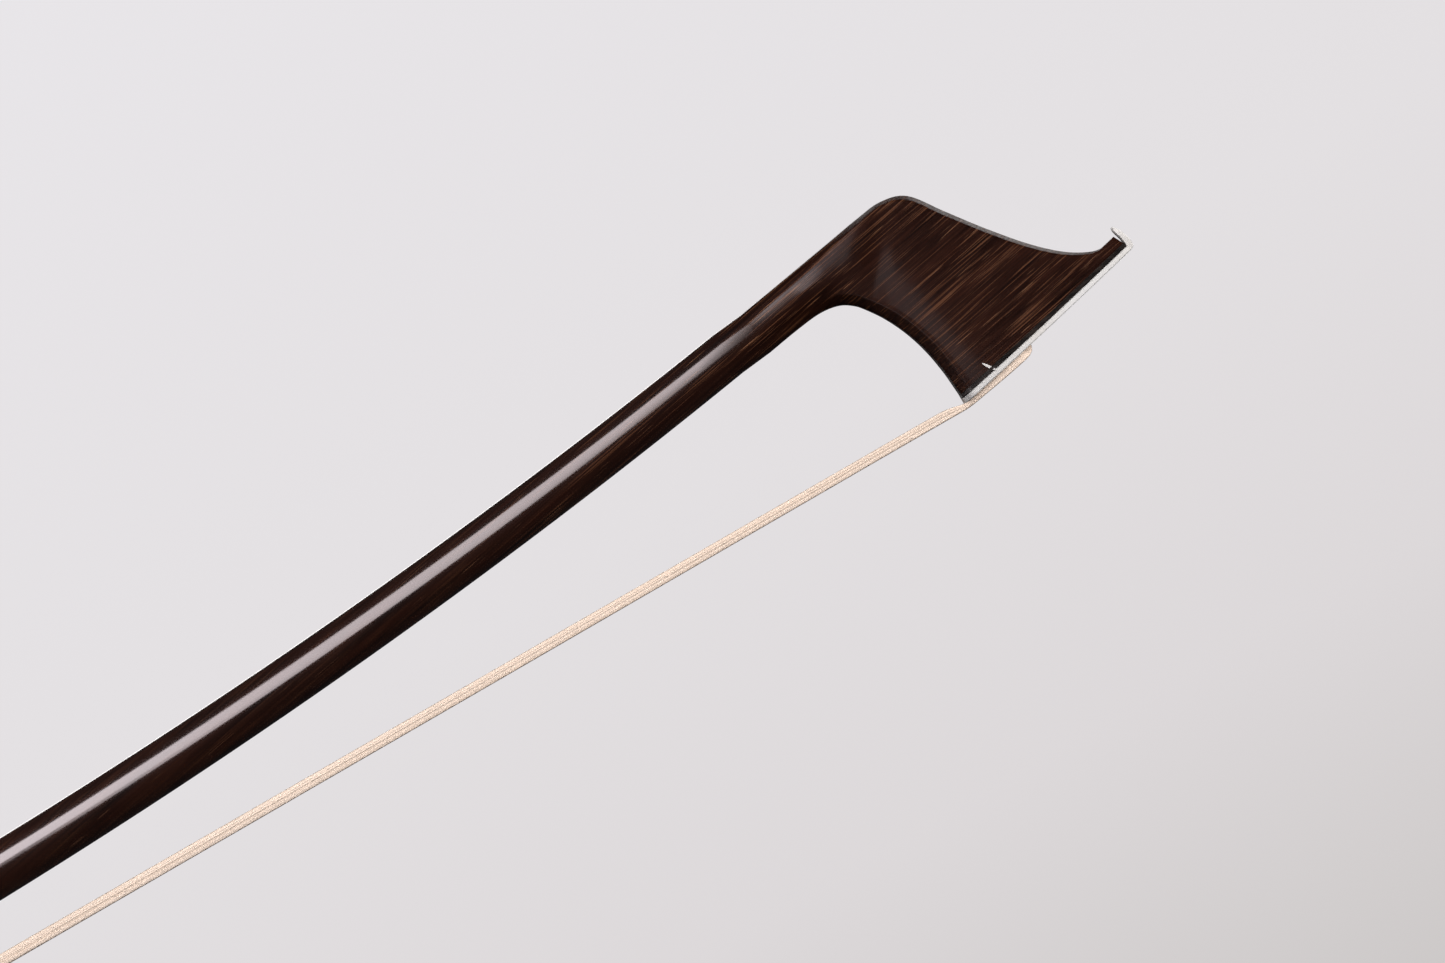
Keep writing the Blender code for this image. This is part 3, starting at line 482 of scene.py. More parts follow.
def make_leather():
    made = Finish("leather", roughness=0.55, specular=0.4)
    cells = made.cells((0.55, 0.5, 0.5))
    fine = made.noise((0.18, 0.18, 0.18), 3, 0.6)
    worn = made.noise((7, 4, 4), 3, 0.6)
    base = made.blend(made.range(worn, 0.4, 0.7), (0.018, 0.012, 0.010), (0.050, 0.031, 0.023))
    base = made.blend(made.range(cells, 0.0, 0.25, 0.0, 0.4), base, (0.030, 0.018, 0.014))
    made.set("Base Color", base)
    made.set("Roughness", made.range(worn, 0.35, 0.7, 0.62, 0.40))
    made.bump(made.range(cells, 0.0, 0.5), 0.09, 0.7)
    made.bump(fine, 0.03, 0.5)
    return made.material


def make_metal(name, bright, dull, grain, roughness, scratch=0.006):
    """Polished metal with brushed streaks, small scratches and duller patches."""
    made = Finish(name, roughness=roughness, metallic=1.0)
    patches = made.noise((5, 4, 4), 4, 0.65)
    brushed = made.noise(grain, 2, 0.5)
    spots = made.noise((0.35, 0.35, 0.35), 3, 0.7)
    base = made.blend(made.range(patches, 0.45, 0.8, 0, 0.45), bright, dull)
    base = made.blend(made.range(spots, 0.66, 0.76, 0, 0.6), base, dull)
    made.set("Base Color", base)
    made.set("Roughness", made.range(patches, 0.35, 0.75, roughness * 0.85, roughness * 1.3))
    made.bump(brushed, scratch, 0.5)
    return made.material


def make_pearl():
    made = Finish("pearl", roughness=0.2, specular=0.6, coat=0.8, coat_roughness=0.06)
    layers = made.noise((1.7, 1.1, 1.3), 3, 0.55, distortion=1.6)
    cloud = made.noise((3.6, 2.6, 2.6), 2, 0.5, distortion=0.8)
    base = made.ramp(layers, ((0.32, (0.46, 0.62, 0.58)), (0.44, (0.80, 0.84, 0.80)),
                              (0.52, (0.84, 0.66, 0.70)), (0.60, (0.60, 0.74, 0.82)),
                              (0.70, (0.86, 0.86, 0.80))))
    base = made.blend(made.range(cloud, 0.35, 0.7, 0, 0.5), base, (0.78, 0.80, 0.78))
    made.set("Base Color", base)
    made.set("Roughness", made.range(layers, 0.3, 0.7, 0.14, 0.3))
    made.bump(layers, 0.02, 0.25)
    return made.material


MATERIALS = {
    "pernambuco": make_pernambuco(),
    "ebony": make_ebony(),
    "bone": make_bone(),
    "maple": make_maple(),
    "horsehair": make_horsehair(),
    "thread": make_thread(),
    "leather": make_leather(),
    "winding_wire": make_metal("winding_wire", (0.83, 0.81, 0.77), (0.52, 0.48, 0.42),
                               (0.5, 0.1, 0.1), 0.24, 0.004),
    "silver": make_metal("silver", (0.86, 0.84, 0.80), (0.58, 0.54, 0.48), (0.1, 2.5, 0.1), 0.22),
    "pearl": make_pearl(),
    "brass": make_metal("brass", (0.80, 0.58, 0.24), (0.45, 0.30, 0.12), (0.1, 1.5, 0.1), 0.3),
    "steel": make_metal("steel", (0.46, 0.46, 0.48), (0.26, 0.25, 0.25), (0.12, 1.5, 1.5), 0.32),
}


# ---------------------------------------------------------------- stick and head

# Places round half a section, in eighths of the half: dense beside the head's edges.
SPOTS = (0, 0.35, 0.7, 0.93, 1, 1.08, 1.3, 1.6, 1.92, 2, 2.03, 2.15, 2.4, 2.7, 3, 3.33, 3.66, 4,
         4.33, 4.66, 5, 5.3, 5.6, 5.85, 5.97, 6, 6.08, 6.35, 6.65, 6.92, 7, 7.15, 7.5, 8)


def section(half):
    """A full ring from one half given as (s, y, h), from the throat side to the ridge side."""
    return [hair_point(s, y, h) for s, y, h in half + [(s, -y, h) for s, y, h in half[-2:0:-1]]]


def stick_ring(s, extra=0.0, shrink=1.0, bore=None):
    """Section square to the stick: octagonal on the handle, round beyond it."""
    height, slope = camber(s)
    radius = diameter(s) / 2 * shrink + extra
    octagonal = min(1.0, max(0.0, (ROUND_TO - (s - BUTT)) / (ROUND_TO - ROUND_FROM)))
    half = []
    for spot in SPOTS:
        angle = math.pi * spot / 8
        reach = bore if bore else radius * octagon_reach(angle, octagonal)
        up = -reach * math.cos(angle)
        half.append((s - up * math.sin(slope), reach * math.sin(angle),
                     height + up * math.cos(slope)))
    return section(half)


def head_ring(rib, sag):
    s0, h0, s1, h1, hatchet, ridge = rib
    length = math.hypot(s1 - s0, h1 - h0)
    throat = THROAT_CHAMFER / length
    outer = cheek_half(s1, h1)
    ridge = min(ridge, 0.8 * outer)
    front = 1 - min(RIDGE_CHAMFER, 1.1 * (outer - ridge)) / length
    knots = [0, 0] + [throat + (front - throat) * share for share in (0, 0.28, 0.55, 0.8, 1)]
    knots += [1, 1]
    half = []
    for spot in SPOTS:
        number = min(int(spot), 7)
        t = spot - number
        u = knots[number] + (knots[number + 1] - knots[number]) * t
        angle = math.pi * spot / 8
        mixed = (1 - math.cos(angle)) / 2 * (1 - hatchet) + u * hatchet
        s = s0 + (s1 - s0) * mixed
        h = h0 + (h1 - h0) * mixed - 4 * sag * mixed * (1 - mixed)
        cheek = cheek_half(s, h)
        widths = (0, cheek - THROAT_BEVEL, cheek, cheek, cheek, cheek, cheek, ridge, 0)
        width = widths[number] + (widths[number + 1] - widths[number]) * t
        round_width = length / 2 * math.sin(angle)
        half.append([s, round_width + (width - round_width) * hatchet, h])
    softened = [list(point) for point in half]
    for corner in (1, 2, 6, 7):
        index = SPOTS.index(corner)
        for axis in range(3):
            softened[index][axis] = (0.5 * half[index][axis] + 0.25 * half[index - 1][axis]
                                     + 0.25 * half[index + 1][axis])
    return section([tuple(point) for point in softened])


def face_cap(last):
    top, count = len(SPOTS) - 1, 2 * len(SPOTS) - 2
    cap = [(last, last + 1, last + count - 1), (last + top - 1, last + top, last + top + 1)]
    for index in range(1, top - 1):
        cap.append((last + index, last + index + 1,
                    last + count - index - 1, last + count - index))
    return cap


def make_stick():
    rings = [stick_ring(handle_s(d), bore=SCREW_BORE / 2) for d in (SCREW_BORE_DEPTH, -0.8)]
    for d, shrink in ((-0.8, 0.58), (-0.7, 0.6), (0.0, 0.6), (0.0, 0.88), (0.25, 0.955),
                      (0.6, 0.99), (1.0, 1.0), (30.0, 1.0), (60.0, 1.0), (84.0, 1.0)):
        rings.append(stick_ring(handle_s(d), shrink=shrink))
    for d in range(98, 131):
        rings.append(stick_ring(handle_s(d)))
    shaft_end = (HEAD_RIBS[0][0][0] + HEAD_RIBS[0][1][0]) / 2
    for s in np.linspace(handle_s(130), shaft_end, 150)[1:-1]:
        rings.append(stick_ring(s))
    keys = [(*inner, *outer, hatchet, ridge) for inner, outer, hatchet, ridge in HEAD_RIBS]
    beak = len(keys) - 3
    for position in np.linspace(0, beak, beak * 8 + 1):
        rings.append(head_ring(curve_through(keys, position), 0.0))
    for start, steps in ((beak, 6), (beak + 1, 3)):
        first, second = np.array(keys[start]), np.array(keys[start + 1])
        for step in range(1, steps + 1):
            share = step / steps
            sag = 0.25 * (share if start == beak else 1.0)
            rings.append(head_ring(first + (second - first) * share, sag))
    stick = loft("stick_wood", rings, "pernambuco", "stick", end_cap=face_cap, sharp=60.0)
    cut_box(stick, *FROG_MORTISE, handle_point)
    cut_box(stick, *HEAD_MORTISE, face_place)
    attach(stick, "stick")
    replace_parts(stick, "stick")


def layer(top, bottom, extra=0.0, steps=50):
    """Stations of a thin layer between two depths below the liner's lower side."""
    stations = []
    for s in np.linspace(FACE_HEEL, FACE_END, steps):
        along = face_frame(s, face_line(s))[0]
        heel_cut = THROAT_BEVEL * max(0.0, 1 - along / THROAT_CHAMFER)
        stations.append(((s, face_line(s, bottom)), (s, face_line(s, top)),
                         cheek_half(s, face_line(s)) - heel_cut + extra))
    return stations


def make_head_fittings():
    liner = loft("head_liner_wood", ribbon_rings(layer(-0.52, -0.01, 0.02), 0.05), "ebony",
                 "stick", sharp=30.0)
    cut_box(liner, *HEAD_MORTISE, face_place)
    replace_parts(liner, "head_liner")

    # the plate's nose turns up in front of the beak
    nose = [((24.62, 5.82), (24.02, 6.02), 1.42), ((24.80, 6.10), (24.02, 6.35), 1.42),
            ((24.84, 6.55), (24.01, 6.75), 1.40), ((24.73, 7.10), (23.96, 7.20), 1.38),
            ((24.56, 7.65), (23.86, 7.62), 1.34), ((24.33, 8.20), (23.72, 8.05), 1.26),
            ((24.08, 8.65), (23.62, 8.45), 1.12), ((23.86, 8.90), (23.60, 8.72), 0.90),
            ((23.74, 8.96), (23.61, 8.88), 0.70)]
    plate = loft("head_plate_bone", ribbon_rings(layer(0.0, PLATE_DROP) + nose, 0.12, 2), "bone",
                 "stick", sharp=30.0)
    cut_box(plate, *HEAD_MORTISE, face_place)
    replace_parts(plate, "head_plate")

    # a thin pale sliver in the bone finish sits at the cheek's lower edge
    sliver_rings = []
    for s, h, wide in ((3.30, 3.05, 0.02), (3.55, 2.65, 0.12), (3.90, 2.12, 0.13),
                       (4.20, 1.72, 0.08), (4.34, 1.55, 0.02)):
        y = -cheek_half(s, h) - 0.035
        sliver_rings.append([hair_point(s + across * wide, y + deep, h + across * wide * 0.6)
                     for across, deep in ((-1, 0.0), (1, 0.0), (1, 0.2), (-1, 0.2))])
    loft("cheek_pale_sliver", sliver_rings, "bone", "stick")


# ---------------------------------------------------------------- hair

def hair_stations():
    """Lower and upper points and half-width of the hair, from inside the ferrule to the head."""
    mouth = handle_s(FERRULE_FRONT) - HAIR_DEPTH * math.sin(HANDLE_TILT)
    stations = [((mouth - 7.0, -0.20), (mouth - 7.0, 0.75), 4.8),
                ((mouth - 2.0, -0.45), (mouth - 2.0, 0.58), 4.9),
                ((mouth + 1.0, -0.55), (mouth + 1.0, 0.60), 4.9),
                ((-400.0, -0.66), (-400.0, 0.66), 4.6),
                ((-125.0, -0.66), (-125.0, 0.68), 4.1),
                ((-60.0, -0.60), (-60.0, 0.57), 3.95),
                ((-20.0, -0.55), (-20.0, 0.52), 3.85),
                ((-6.0, -0.55), (-6.0, 0.51), 3.8),
                ((-3.0, -0.55), (-3.0, 0.49), 3.8),
                ((-1.6, -0.55), (-1.7, 0.26), 3.8),
                ((-0.6, -0.53), (-0.7, -0.06), 3.8),
                ((0.4, -0.42), (0.3, 0.11), 3.95)]
    for s, thick, half in ((2.0, 0.64, 4.2), (4.0, 0.74, 4.4), (6.0, 0.80, 4.4), (7.5, 0.83, 4.2)):
        top = face_line(s, PLATE_DROP) - 0.02
        stations.append(((s, top - thick), (s - 0.12 * thick, top), half))
    stations += [((8.7, 1.22), (7.95, 1.98), 3.9), ((9.12, 1.65), (8.1, 2.4), 3.0),
                 ((9.2, 2.3), (8.2, 2.9), 2.4), ((8.9, 3.5), (8.2, 3.8), 2.3)]
    return stations


def hair_rows():
    """Smoothed stations at close places, denser where the hair bends at the head."""
    keys = np.array([(*lower, *upper, half) for lower, upper, half in hair_stations()])
    middle = (keys[:, 0:2] + keys[:, 2:4]) / 2
    length = np.concatenate([[0], np.cumsum(np.linalg.norm(np.diff(middle, axis=0), axis=1))])
    bend = length[-1] - 18.0
    places = np.concatenate([np.linspace(0, bend, 70), np.linspace(bend, length[-1], 40)[1:]])
    window = np.linspace(-1, 1, 7)
    reach = np.interp(places, (0, bend - 40, bend, length[-1]), (2.0, 2.0, 0.55, 0.35))
    rows = np.zeros((len(places), 5))
    for shift in window:
        at = np.clip(places + shift * reach, 0, length[-1])
        rows += np.stack([np.interp(at, length, keys[:, column]) for column in range(5)], axis=1)
    return rows / len(window), places, bend


def strand_tube(path, radius):
    """Rings of a thin five-sided tube along a path of points in millimetres."""
    sides = 5
    ahead = np.gradient(path, axis=0)
    ahead /= np.linalg.norm(ahead, axis=1)[:, None]
    across = np.tile([0.0, 1.0, 0.0], (len(path), 1))
    up = np.cross(ahead, across)
    up /= np.linalg.norm(up, axis=1)[:, None]
    across = np.cross(up, ahead)
    angles = 2 * np.pi * np.arange(sides) / sides
    return (path[:, None] + radius * (np.cos(angles)[None, :, None] * across[:, None]
                                      + np.sin(angles)[None, :, None] * up[:, None]))


def make_hair():
    rng = np.random.default_rng(7)
    rows, places, bend = hair_rows()
    total = places[-1]
    lower, upper, half = rows[:, 0:2], rows[:, 2:4], rows[:, 4]
    # each seat is a share of the half-width and a share of the thickness
    seats = [(a, v) for v in (0.07, 0.93) for a in np.linspace(-0.95, 0.95, 42)]
    seats += [(side * 0.967, v) for side in (-1, 1) for v in np.linspace(0.15, 0.85, 10)]
    points, faces = [], []

    def add_tube(rings):
        start = sum(len(block) for block in points)
        points.append(rings.reshape(-1, 3))
        faces.extend(tuple(index + start for index in face)
                     for face in loft_faces(len(rings), rings.shape[1]))

    # strands are held still at both ends of the free run and wander in between
    free = np.sin(np.pi * np.clip(places / bend, 0, 1)) ** 0.5
    for a, v in seats:
        wander = np.zeros(len(places))
        lift = np.zeros(len(places))
        for waves in (1.0, 2.3, 4.1):
            wander += np.sin(2 * np.pi * (waves * places / total + rng.random())) / waves
            lift += np.sin(2 * np.pi * (1.7 * waves * places / total + rng.random())) / waves
        if abs(a) < 0.96:
            y = (a + 0.02 * rng.normal()) * half + 0.10 * wander * free
            y = np.clip(y, -half * 0.97, half * 0.97)
            share = v + 0.012 * rng.normal() + 0.012 * lift * free
        else:
            y = a * half + 0.02 * wander * free
            share = v + 0.015 * rng.normal() + 0.03 * lift * free
        share = np.clip(share, 0.05, 0.95)
        side = lower + (upper - lower) * share[:, None]
        path = np.stack([side[:, 0] + HEEL_X, y, side[:, 1] + HAIR_Z], axis=1)
        add_tube(strand_tube(path, 0.105 + 0.02 * rng.random()) * MM)

    # a solid core closes the gaps between the strands
    core = []
    for low, high, wide in zip(lower, upper, half):
        ring = []
        for a, v in ((-0.95, 0.08), (0.95, 0.08), (0.985, 0.25), (0.985, 0.75), (0.95, 0.92),
                     (-0.95, 0.92), (-0.985, 0.75), (-0.985, 0.25)):
            s, h = low + (high - low) * v
            ring.append(hair_point(s, a * wide, h))
        core.append(ring)
    add_tube(np.array(core))
    mesh = bpy.data.meshes.new("hair")
    mesh.from_pydata(np.concatenate(points).tolist(), [], faces)
    shape = bmesh.new()
    shape.from_mesh(mesh)
    bmesh.ops.recalc_face_normals(shape, faces=shape.faces)
    shape.to_mesh(mesh)
    shape.free()
    mesh.shade_smooth()
    mesh.materials.append(MATERIALS["horsehair"])
    hair = bpy.data.objects.new("hair", mesh)
    bpy.context.scene.collection.objects.link(hair)
    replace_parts(hair, "hair_ribbon", "hair_head_end")
    hair.visible_glossy = False
    handle_point(FERRULE_FRONT - 1, 0, -HAIR_DEPTH)
    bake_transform(hair)


# ---------------------------------------------------------------- grip

def make_leather_grip():
    """A leather sleeve with skived ends and a seam along the top flat."""
    start, length = FROG_FRONT + 0.6, 25.0
    sides = 96

    def thickness(along, angle, outside):
        if not outside:
            return 0.05
        from_end = min(along, length - along)
        edge = 0.55 + 0.6 * (1 - math.exp(-from_end / 0.9))
        crease = 0.03 * math.sin(along * 1.9 + 2 * angle) + 0.025 * math.sin(along * 4.3 - 3 * angle)
        seam = 0.45 * math.exp(-((angle - math.pi) / 0.055) ** 2)
        bulge = 0.12 * math.exp(-((abs(angle - math.pi) - 0.16) / 0.09) ** 2)
        return edge + crease - seam + bulge

    def ring(along, outside):
        s = handle_s(start + along)
        height, slope = camber(s)
        points = []
        for index in range(sides):
            angle = 2 * math.pi * index / sides
            reach = (diameter(s) / 2 * octagon_reach(angle, 0.85 if outside else 1.0)
                     + thickness(along, angle, outside))
            up = -reach * math.cos(angle)
            points.append(hair_point(s - up * math.sin(slope), reach * math.sin(angle),
                                     height + up * math.cos(slope)))
        return points

    places = [0.0, 0.1, 0.25, 0.5, 0.9] + list(np.linspace(1.4, length - 1.4, 40))
    places += [length - 0.9, length - 0.5, length - 0.25, length - 0.1, length]
    rings = [ring(along, True) for along in places] + [ring(length, False), ring(0.0, False)]
    grip = loft("thumb_grip", rings, "leather", "stick", closed=True, sharp=50.0)
    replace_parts(grip, "thumb_leather")


def make_winding():
    """Silver wire wound turn beside turn over a thin dark underlay."""
    start, end = FROG_FRONT + 25.9, FROG_FRONT + 100.6
    wire, per_turn, wire_sides = 0.36, 28, 6
    turns = int((end - start - wire) / wire)
    steps = turns * per_turn
    points = []
    for step in range(steps + 1):
        angle = 2 * math.pi * step / per_turn
        s = handle_s(start + wire / 2 + wire * step / per_turn)
        height, slope = camber(s)
        octagonal = min(1.0, max(0.0, (ROUND_TO - (s - BUTT)) / (ROUND_TO - ROUND_FROM)))
        reach = diameter(s) / 2 * octagon_reach(angle, 0.8 * octagonal) + 0.3 + wire / 2
        for side in range(wire_sides):
            turn = 2 * math.pi * side / wire_sides
            out = reach + wire / 2 * 1.03 * math.cos(turn)
            along = wire / 2 * 1.03 * math.sin(turn)
            up = -out * math.cos(angle)
            points.append(hair_point(s - up * math.sin(slope) + along * math.cos(slope),
                                     out * math.sin(angle),
                                     height + up * math.cos(slope) + along * math.sin(slope)))
    coil = piece("winding_wire", points, loft_faces(steps + 1, wire_sides), "winding_wire", "stick",
                 sharp=80.0)
    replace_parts(coil, "winding")
    places = [handle_s(start + (end - start) * step / 12) for step in range(13)]
    rings = [stick_ring(s, extra=0.34) for s in places]
    rings += [stick_ring(s, extra=0.02) for s in reversed(places)]
    loft("winding_underlay", rings, "thread", "stick", closed=True)


# ---------------------------------------------------------------- screw, button and frog

def make_button():
    flat = BUTTON_FLAT / 2
    spigot = flat * 0.66
    seat = spigot + 0.05
    core_flat = flat - 0.25

    def turned_part(name, profile, finish, node, **options):
        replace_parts(turned(name, profile, finish, "screw", handle_point, **options), node)

    turned_part("button_collar", [(-0.3, flat), (-3.55, flat), (-3.55, seat), (-0.3, seat)],
                "silver", "button_front_ring", closed=True,
                flats=lambda x, radius: float(radius > spigot + 0.6))
    core = [(-1.3, 1.5), (-1.3, spigot), (-3.6, spigot), (-3.6, core_flat), (-4.6, core_flat - 0.35),
            (-6.4, core_flat - 0.5), (-8.2, core_flat - 0.35), (-9.25, core_flat),
            (-9.25, spigot), (-11.2, spigot), (-11.2, 1.5)]
    turned_part("button_wood", core, "ebony", "button_core", closed=True,
                flats=lambda x, radius: float(radius > spigot + 0.4))
    rear = [(-9.35, flat), (-12.9, flat), (-13.6, flat - 0.7), (-13.6, seat), (-9.35, seat)]
    turned_part("button_cap", rear, "silver", "button_rear_ring", closed=True,
                flats=lambda x, radius: float(radius > spigot + 0.6))
    turned_part("button_pearl", [(-11.25, 0.05), (-11.25, spigot), (-13.25, spigot),
                                 (-13.62, spigot - 0.8), (-13.75, 0.05)],
                "pearl", "button_eye", round_to=0.2)


def make_ferrule():
    """The ferrule: flat bottom, rounded corners and an arched top, with softly rounded lips."""
    def outline(inset):
        half, bottom = FERRULE_HALF - inset, FERRULE_BOTTOM + inset
        top, spring = FERRULE_BOTTOM + FERRULE_HEIGHT - inset, FERRULE_BOTTOM + FERRULE_SPRING
        corner = max(0.35, 0.8 - inset)
        points = []
        for step in range(9):
            angle = math.radians(-90 + 90 * step / 8)
            points.append((half - corner + corner * math.cos(angle),
                           bottom + corner + corner * math.sin(angle)))
        for step in range(41):
            angle = math.pi * step / 40
            points.append((half * math.cos(angle), spring + (top - spring) * math.sin(angle)))
        for step in range(9):
            angle = math.radians(180 + 90 * step / 8)
            points.append((-half + corner + corner * math.cos(angle),
                           bottom + corner + corner * math.sin(angle)))
        return points

    lips = ((0.16, 0.0), (0.05, 0.05), (0.0, 0.16))
    profile = [(FERRULE_REAR + x, inset) for inset, x in lips]
    profile += [(FERRULE_FRONT - x, inset) for inset, x in lips[::-1]]
    profile += [(FERRULE_FRONT, 0.34), (FERRULE_FRONT - 0.16, FERRULE_WALL),
                (FERRULE_REAR + 0.16, FERRULE_WALL), (FERRULE_REAR, 0.34)]
    rings = [[handle_point(d, y, z) for y, z in outline(inset)] for d, inset in profile]
    ferrule = loft("ferrule_silver", rings, "silver", "frog", closed=True)
    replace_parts(ferrule, "ferrule")


def make_eyes():
    """Pearl eyes in silver rings on both cheeks of the frog."""
    lean = (FROG_BOTTOM_HALF - FROG_TOP_HALF) / (FROG_TOP - FROG_BOTTOM)
    surface = FROG_BOTTOM_HALF - lean * (EYE_Z - FROG_BOTTOM)
    seat, pearl_radius, ring_bore, ring_radius = 4.2, 3.2, 3.25, 4.0
    for side, sign in (("left", 1), ("right", -1)):
        def place(x, y, z, sign=sign):
            """The eye's axis is x; its face follows the leaning cheek."""
            return handle_point(EYE_D + y, sign * (x - lean * z), EYE_Z + z)
        ring = turned("eye_ring_" + side + "_silver",
                      [(seat, ring_bore), (seat, ring_radius), (surface + 0.14, ring_radius),
                       (surface + 0.14, ring_bore)],
                      "silver", "frog", place, closed=True, round_to=0.1)
        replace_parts(ring, "eye_ring_" + side)
        pearl = turned("eye_pearl_" + side + "_disc",
                       [(seat, 0.05), (seat, pearl_radius), (surface + 0.05, pearl_radius),
                        (surface + 0.14, 2.6),
                        (surface + 0.2, 0.05)], "pearl", "frog", place, round_to=0.15)
        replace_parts(pearl, "eye_pearl_" + side)


def finish_cad_nodes():
    """The remaining CAD nodes get softened edges and the finish of their slot."""
    slots = {part["node"]: part["material_slot"] for part in frame["record"]["subparts"]}
    bevels = {"frog_block": 0.22, "heel_plate": 0.1, "back_plate": 0.1, "underslide": 0.05,
              "pearl_slide": 0.06, "eyelet": 0.12, "frog_wedge": 0.1, "ferrule_wedge": 0.1,
              "head_wedge": 0.1}
    for name, node in frame["nodes"].items():
        node.data.materials.clear()
        node.data.materials.append(MATERIALS[slots[name]])
        if name in bevels and not node.hide_render:
            weld = node.modifiers.new("weld", "WELD")
            weld.merge_threshold = 0.002 * MM
            bevel = node.modifiers.new("bevel", "BEVEL")
            bevel.width, bevel.segments = bevels[name] * MM, 3
            bevel.limit_method, bevel.angle_limit = "ANGLE", math.radians(30)
            bevel.use_clamp_overlap = True
            bevel.harden_normals = True


# ---------------------------------------------------------------- studio

# In metres, as everything in the studio is.
FLOOR_Z = -0.32
CAMERA_AIM, CAMERA_AWAY = (0.31808, 0, 0.00745), 0.904
CAMERA_ROLL = math.radians(30.02)


def area_light(name, place, target, size, power, colour):
    light = bpy.data.lights.new(name, "AREA")
    light.shape = "RECTANGLE"
    light.size, light.size_y = size
    light.energy = power
    light.color = colour
    lamp = bpy.data.objects.new(name, light)
    bpy.context.scene.collection.objects.link(lamp)
    lamp.location = place
    away = (Vector(place) - Vector(target)).normalized()
    side = Vector((1, 0, 0))
    up = away.cross(side).normalized()
    side = up.cross(away).normalized()
    lamp.matrix_world = Matrix.Translation(place) @ Matrix((side, up, away)).transposed().to_4x4()
    lamp.visible_camera = False
    return lamp


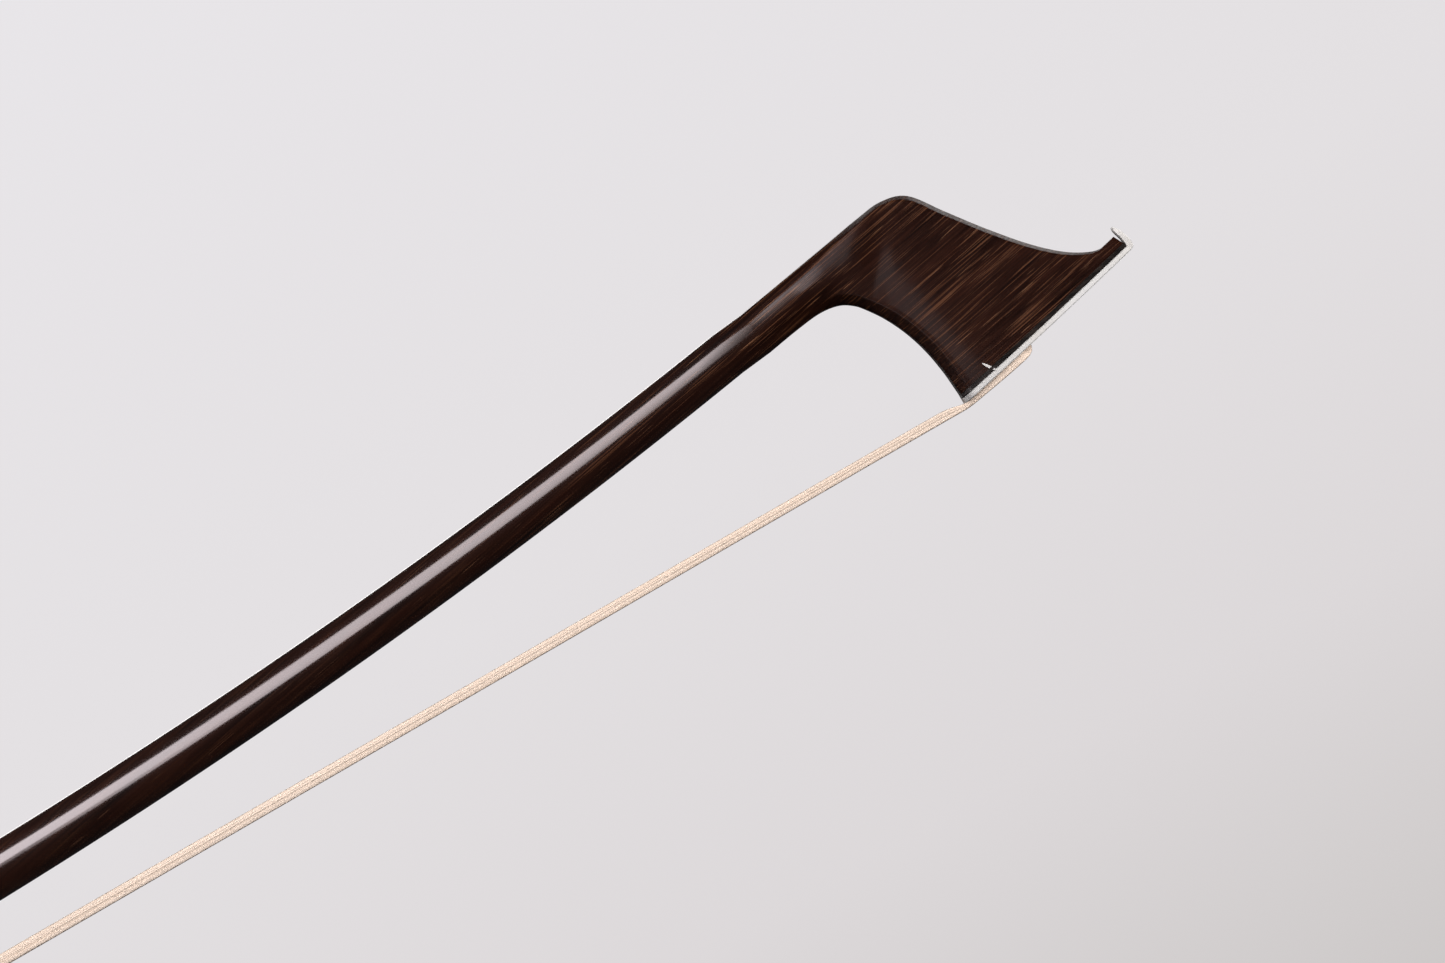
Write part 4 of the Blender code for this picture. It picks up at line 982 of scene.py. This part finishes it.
def make_studio():
    bpy.context.scene.view_settings.view_transform = "Standard"
    world = bpy.data.worlds.new("studio")
    bpy.context.scene.world = world
    world.use_nodes = True
    tree = world.node_tree
    tree.nodes.clear()
    # the backdrop seen by the camera is painted darker towards the bottom, a painted shade of light
    # falling off; diffuse and glossy rays get even light instead
    seen = tree.nodes.new("ShaderNodeBackground")
    space = tree.nodes.new("ShaderNodeTexCoord")
    height = tree.nodes.new("ShaderNodeSeparateXYZ")
    painted_falloff = tree.nodes.new("ShaderNodeMapRange")
    painted_falloff.inputs["From Min"].default_value, painted_falloff.inputs["From Max"].default_value = -0.1, 0.1
    ramp = tree.nodes.new("ShaderNodeValToRGB")
    for place, colour in ((0.25, (0.72, 0.69, 0.70)), (0.5, (0.77, 0.745, 0.76))):
        ramp.color_ramp.elements.new(place).color = (*colour, 1)
    ramp.color_ramp.elements[0].color = (0.60, 0.575, 0.57, 1)
    ramp.color_ramp.elements[-1].color = (0.81, 0.79, 0.815, 1)
    for source, target in ((space.outputs["Generated"], height.inputs[0]),
                           (height.outputs["Z"], painted_falloff.inputs["Value"]),
                           (painted_falloff.outputs[0], ramp.inputs[0]), (ramp.outputs[0], seen.inputs[0])):
        tree.links.new(source, target)
    ray = tree.nodes.new("ShaderNodeLightPath")
    shown = seen
    for kind, strength in (("Is Diffuse Ray", 0.12), ("Is Glossy Ray", 0.025)):
        light = tree.nodes.new("ShaderNodeBackground")
        light.inputs["Color"].default_value = (0.95, 0.93, 1.0, 1)
        light.inputs["Strength"].default_value = strength
        mix = tree.nodes.new("ShaderNodeMixShader")
        tree.links.new(ray.outputs[kind], mix.inputs[0])
        tree.links.new(shown.outputs[0], mix.inputs[1])
        tree.links.new(light.outputs[0], mix.inputs[2])
        shown = mix
    out = tree.nodes.new("ShaderNodeOutputWorld")
    tree.links.new(shown.outputs[0], out.inputs["Surface"])

    # these show only as reflections
    for name, place, size, power, colour in (
            ("key", (-0.67, -0.61, 0.47), (1.66, 0.50), 27.0, (1.0, 0.90, 0.94)),
            ("key_end", (0.22, -0.64, 0.43), (0.12, 0.72), 2.0, (1.0, 0.88, 0.90)),
            ("glow", (0.31, -0.64, 0.43), (0.06, 0.60), 0.2, (1.0, 0.88, 0.86)),
            ("edge", (-0.62, -0.86, -0.30), (0.20, 0.90), 5.0, (1.0, 0.92, 0.92)),
            ("back", (0.0, 1.20, 0.28), (2.4, 0.40), 8.0, (1.0, 0.97, 0.96))):
        aim = (0.33, 0, 0) if name == "edge" else (place[0], 0, 0)
        area_light(name, place, aim, size, power, colour).visible_diffuse = False
    # these light the surfaces without being mirrored in them
    for name, place, size, power, colour in (
            ("front", (0.95, -1.20, 0.62), (1.4, 1.0), 27.0, (1.0, 0.985, 1.0)),
            ("low", (1.60, -1.10, -0.08), (0.6, 0.5), 16.0, (1.0, 0.985, 1.0)),
            ("rear", (0.0, 3.20, 1.80), (3.0, 1.2), 75.0, (1.0, 0.985, 0.98)),
            ("top", (0.0, 0.0, 2.2), (4.0, 3.0), 30.0, (1.0, 0.96, 0.94))):
        area_light(name, place, (0.1, 0, 0), size, power, colour).visible_glossy = False

    floor = Finish("floor", roughness=0.9, specular=0.2)
    paper = floor.noise((3, 3, 3), 3, 0.6)
    floor.set("Base Color", floor.blend(floor.range(paper, 0.3, 0.7), (0.50, 0.49, 0.49),
                                        (0.54, 0.53, 0.53)))
    mesh = bpy.data.meshes.new("floor")
    mesh.from_pydata([(x, y, FLOOR_Z) for x, y in ((-2.4, -2.4), (2.4, -2.4), (2.4, 1.9),
                                                   (-2.4, 1.9))], [], [(0, 1, 2, 3)])
    mesh.materials.append(floor.material)
    ground = bpy.data.objects.new("floor", mesh)
    bpy.context.scene.collection.objects.link(ground)
    ground.visible_glossy = ground.visible_diffuse = False
    ground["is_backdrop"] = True

    data = bpy.data.cameras.new("camera")
    data.lens, data.sensor_width = 200, 36
    camera = bpy.data.objects.new("camera", data)
    bpy.context.scene.collection.objects.link(camera)
    right = Vector((math.cos(CAMERA_ROLL), 0, -math.sin(CAMERA_ROLL)))
    up = Vector((math.sin(CAMERA_ROLL), 0, math.cos(CAMERA_ROLL)))
    back = Vector((0, -1, 0))
    camera.matrix_world = (Matrix.Translation(Vector(CAMERA_AIM) + back * CAMERA_AWAY)
                           @ Matrix((right, up, back)).transposed().to_4x4())
    data.clip_start, data.clip_end = 0.05, 50
    bpy.context.scene.camera = camera


make_stick()
make_head_fittings()
make_hair()
make_leather_grip()
make_winding()
make_button()
make_ferrule()
make_eyes()
finish_cad_nodes()
make_studio()

[[list(corner) for corner in span] for span in (size_at_load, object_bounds())]
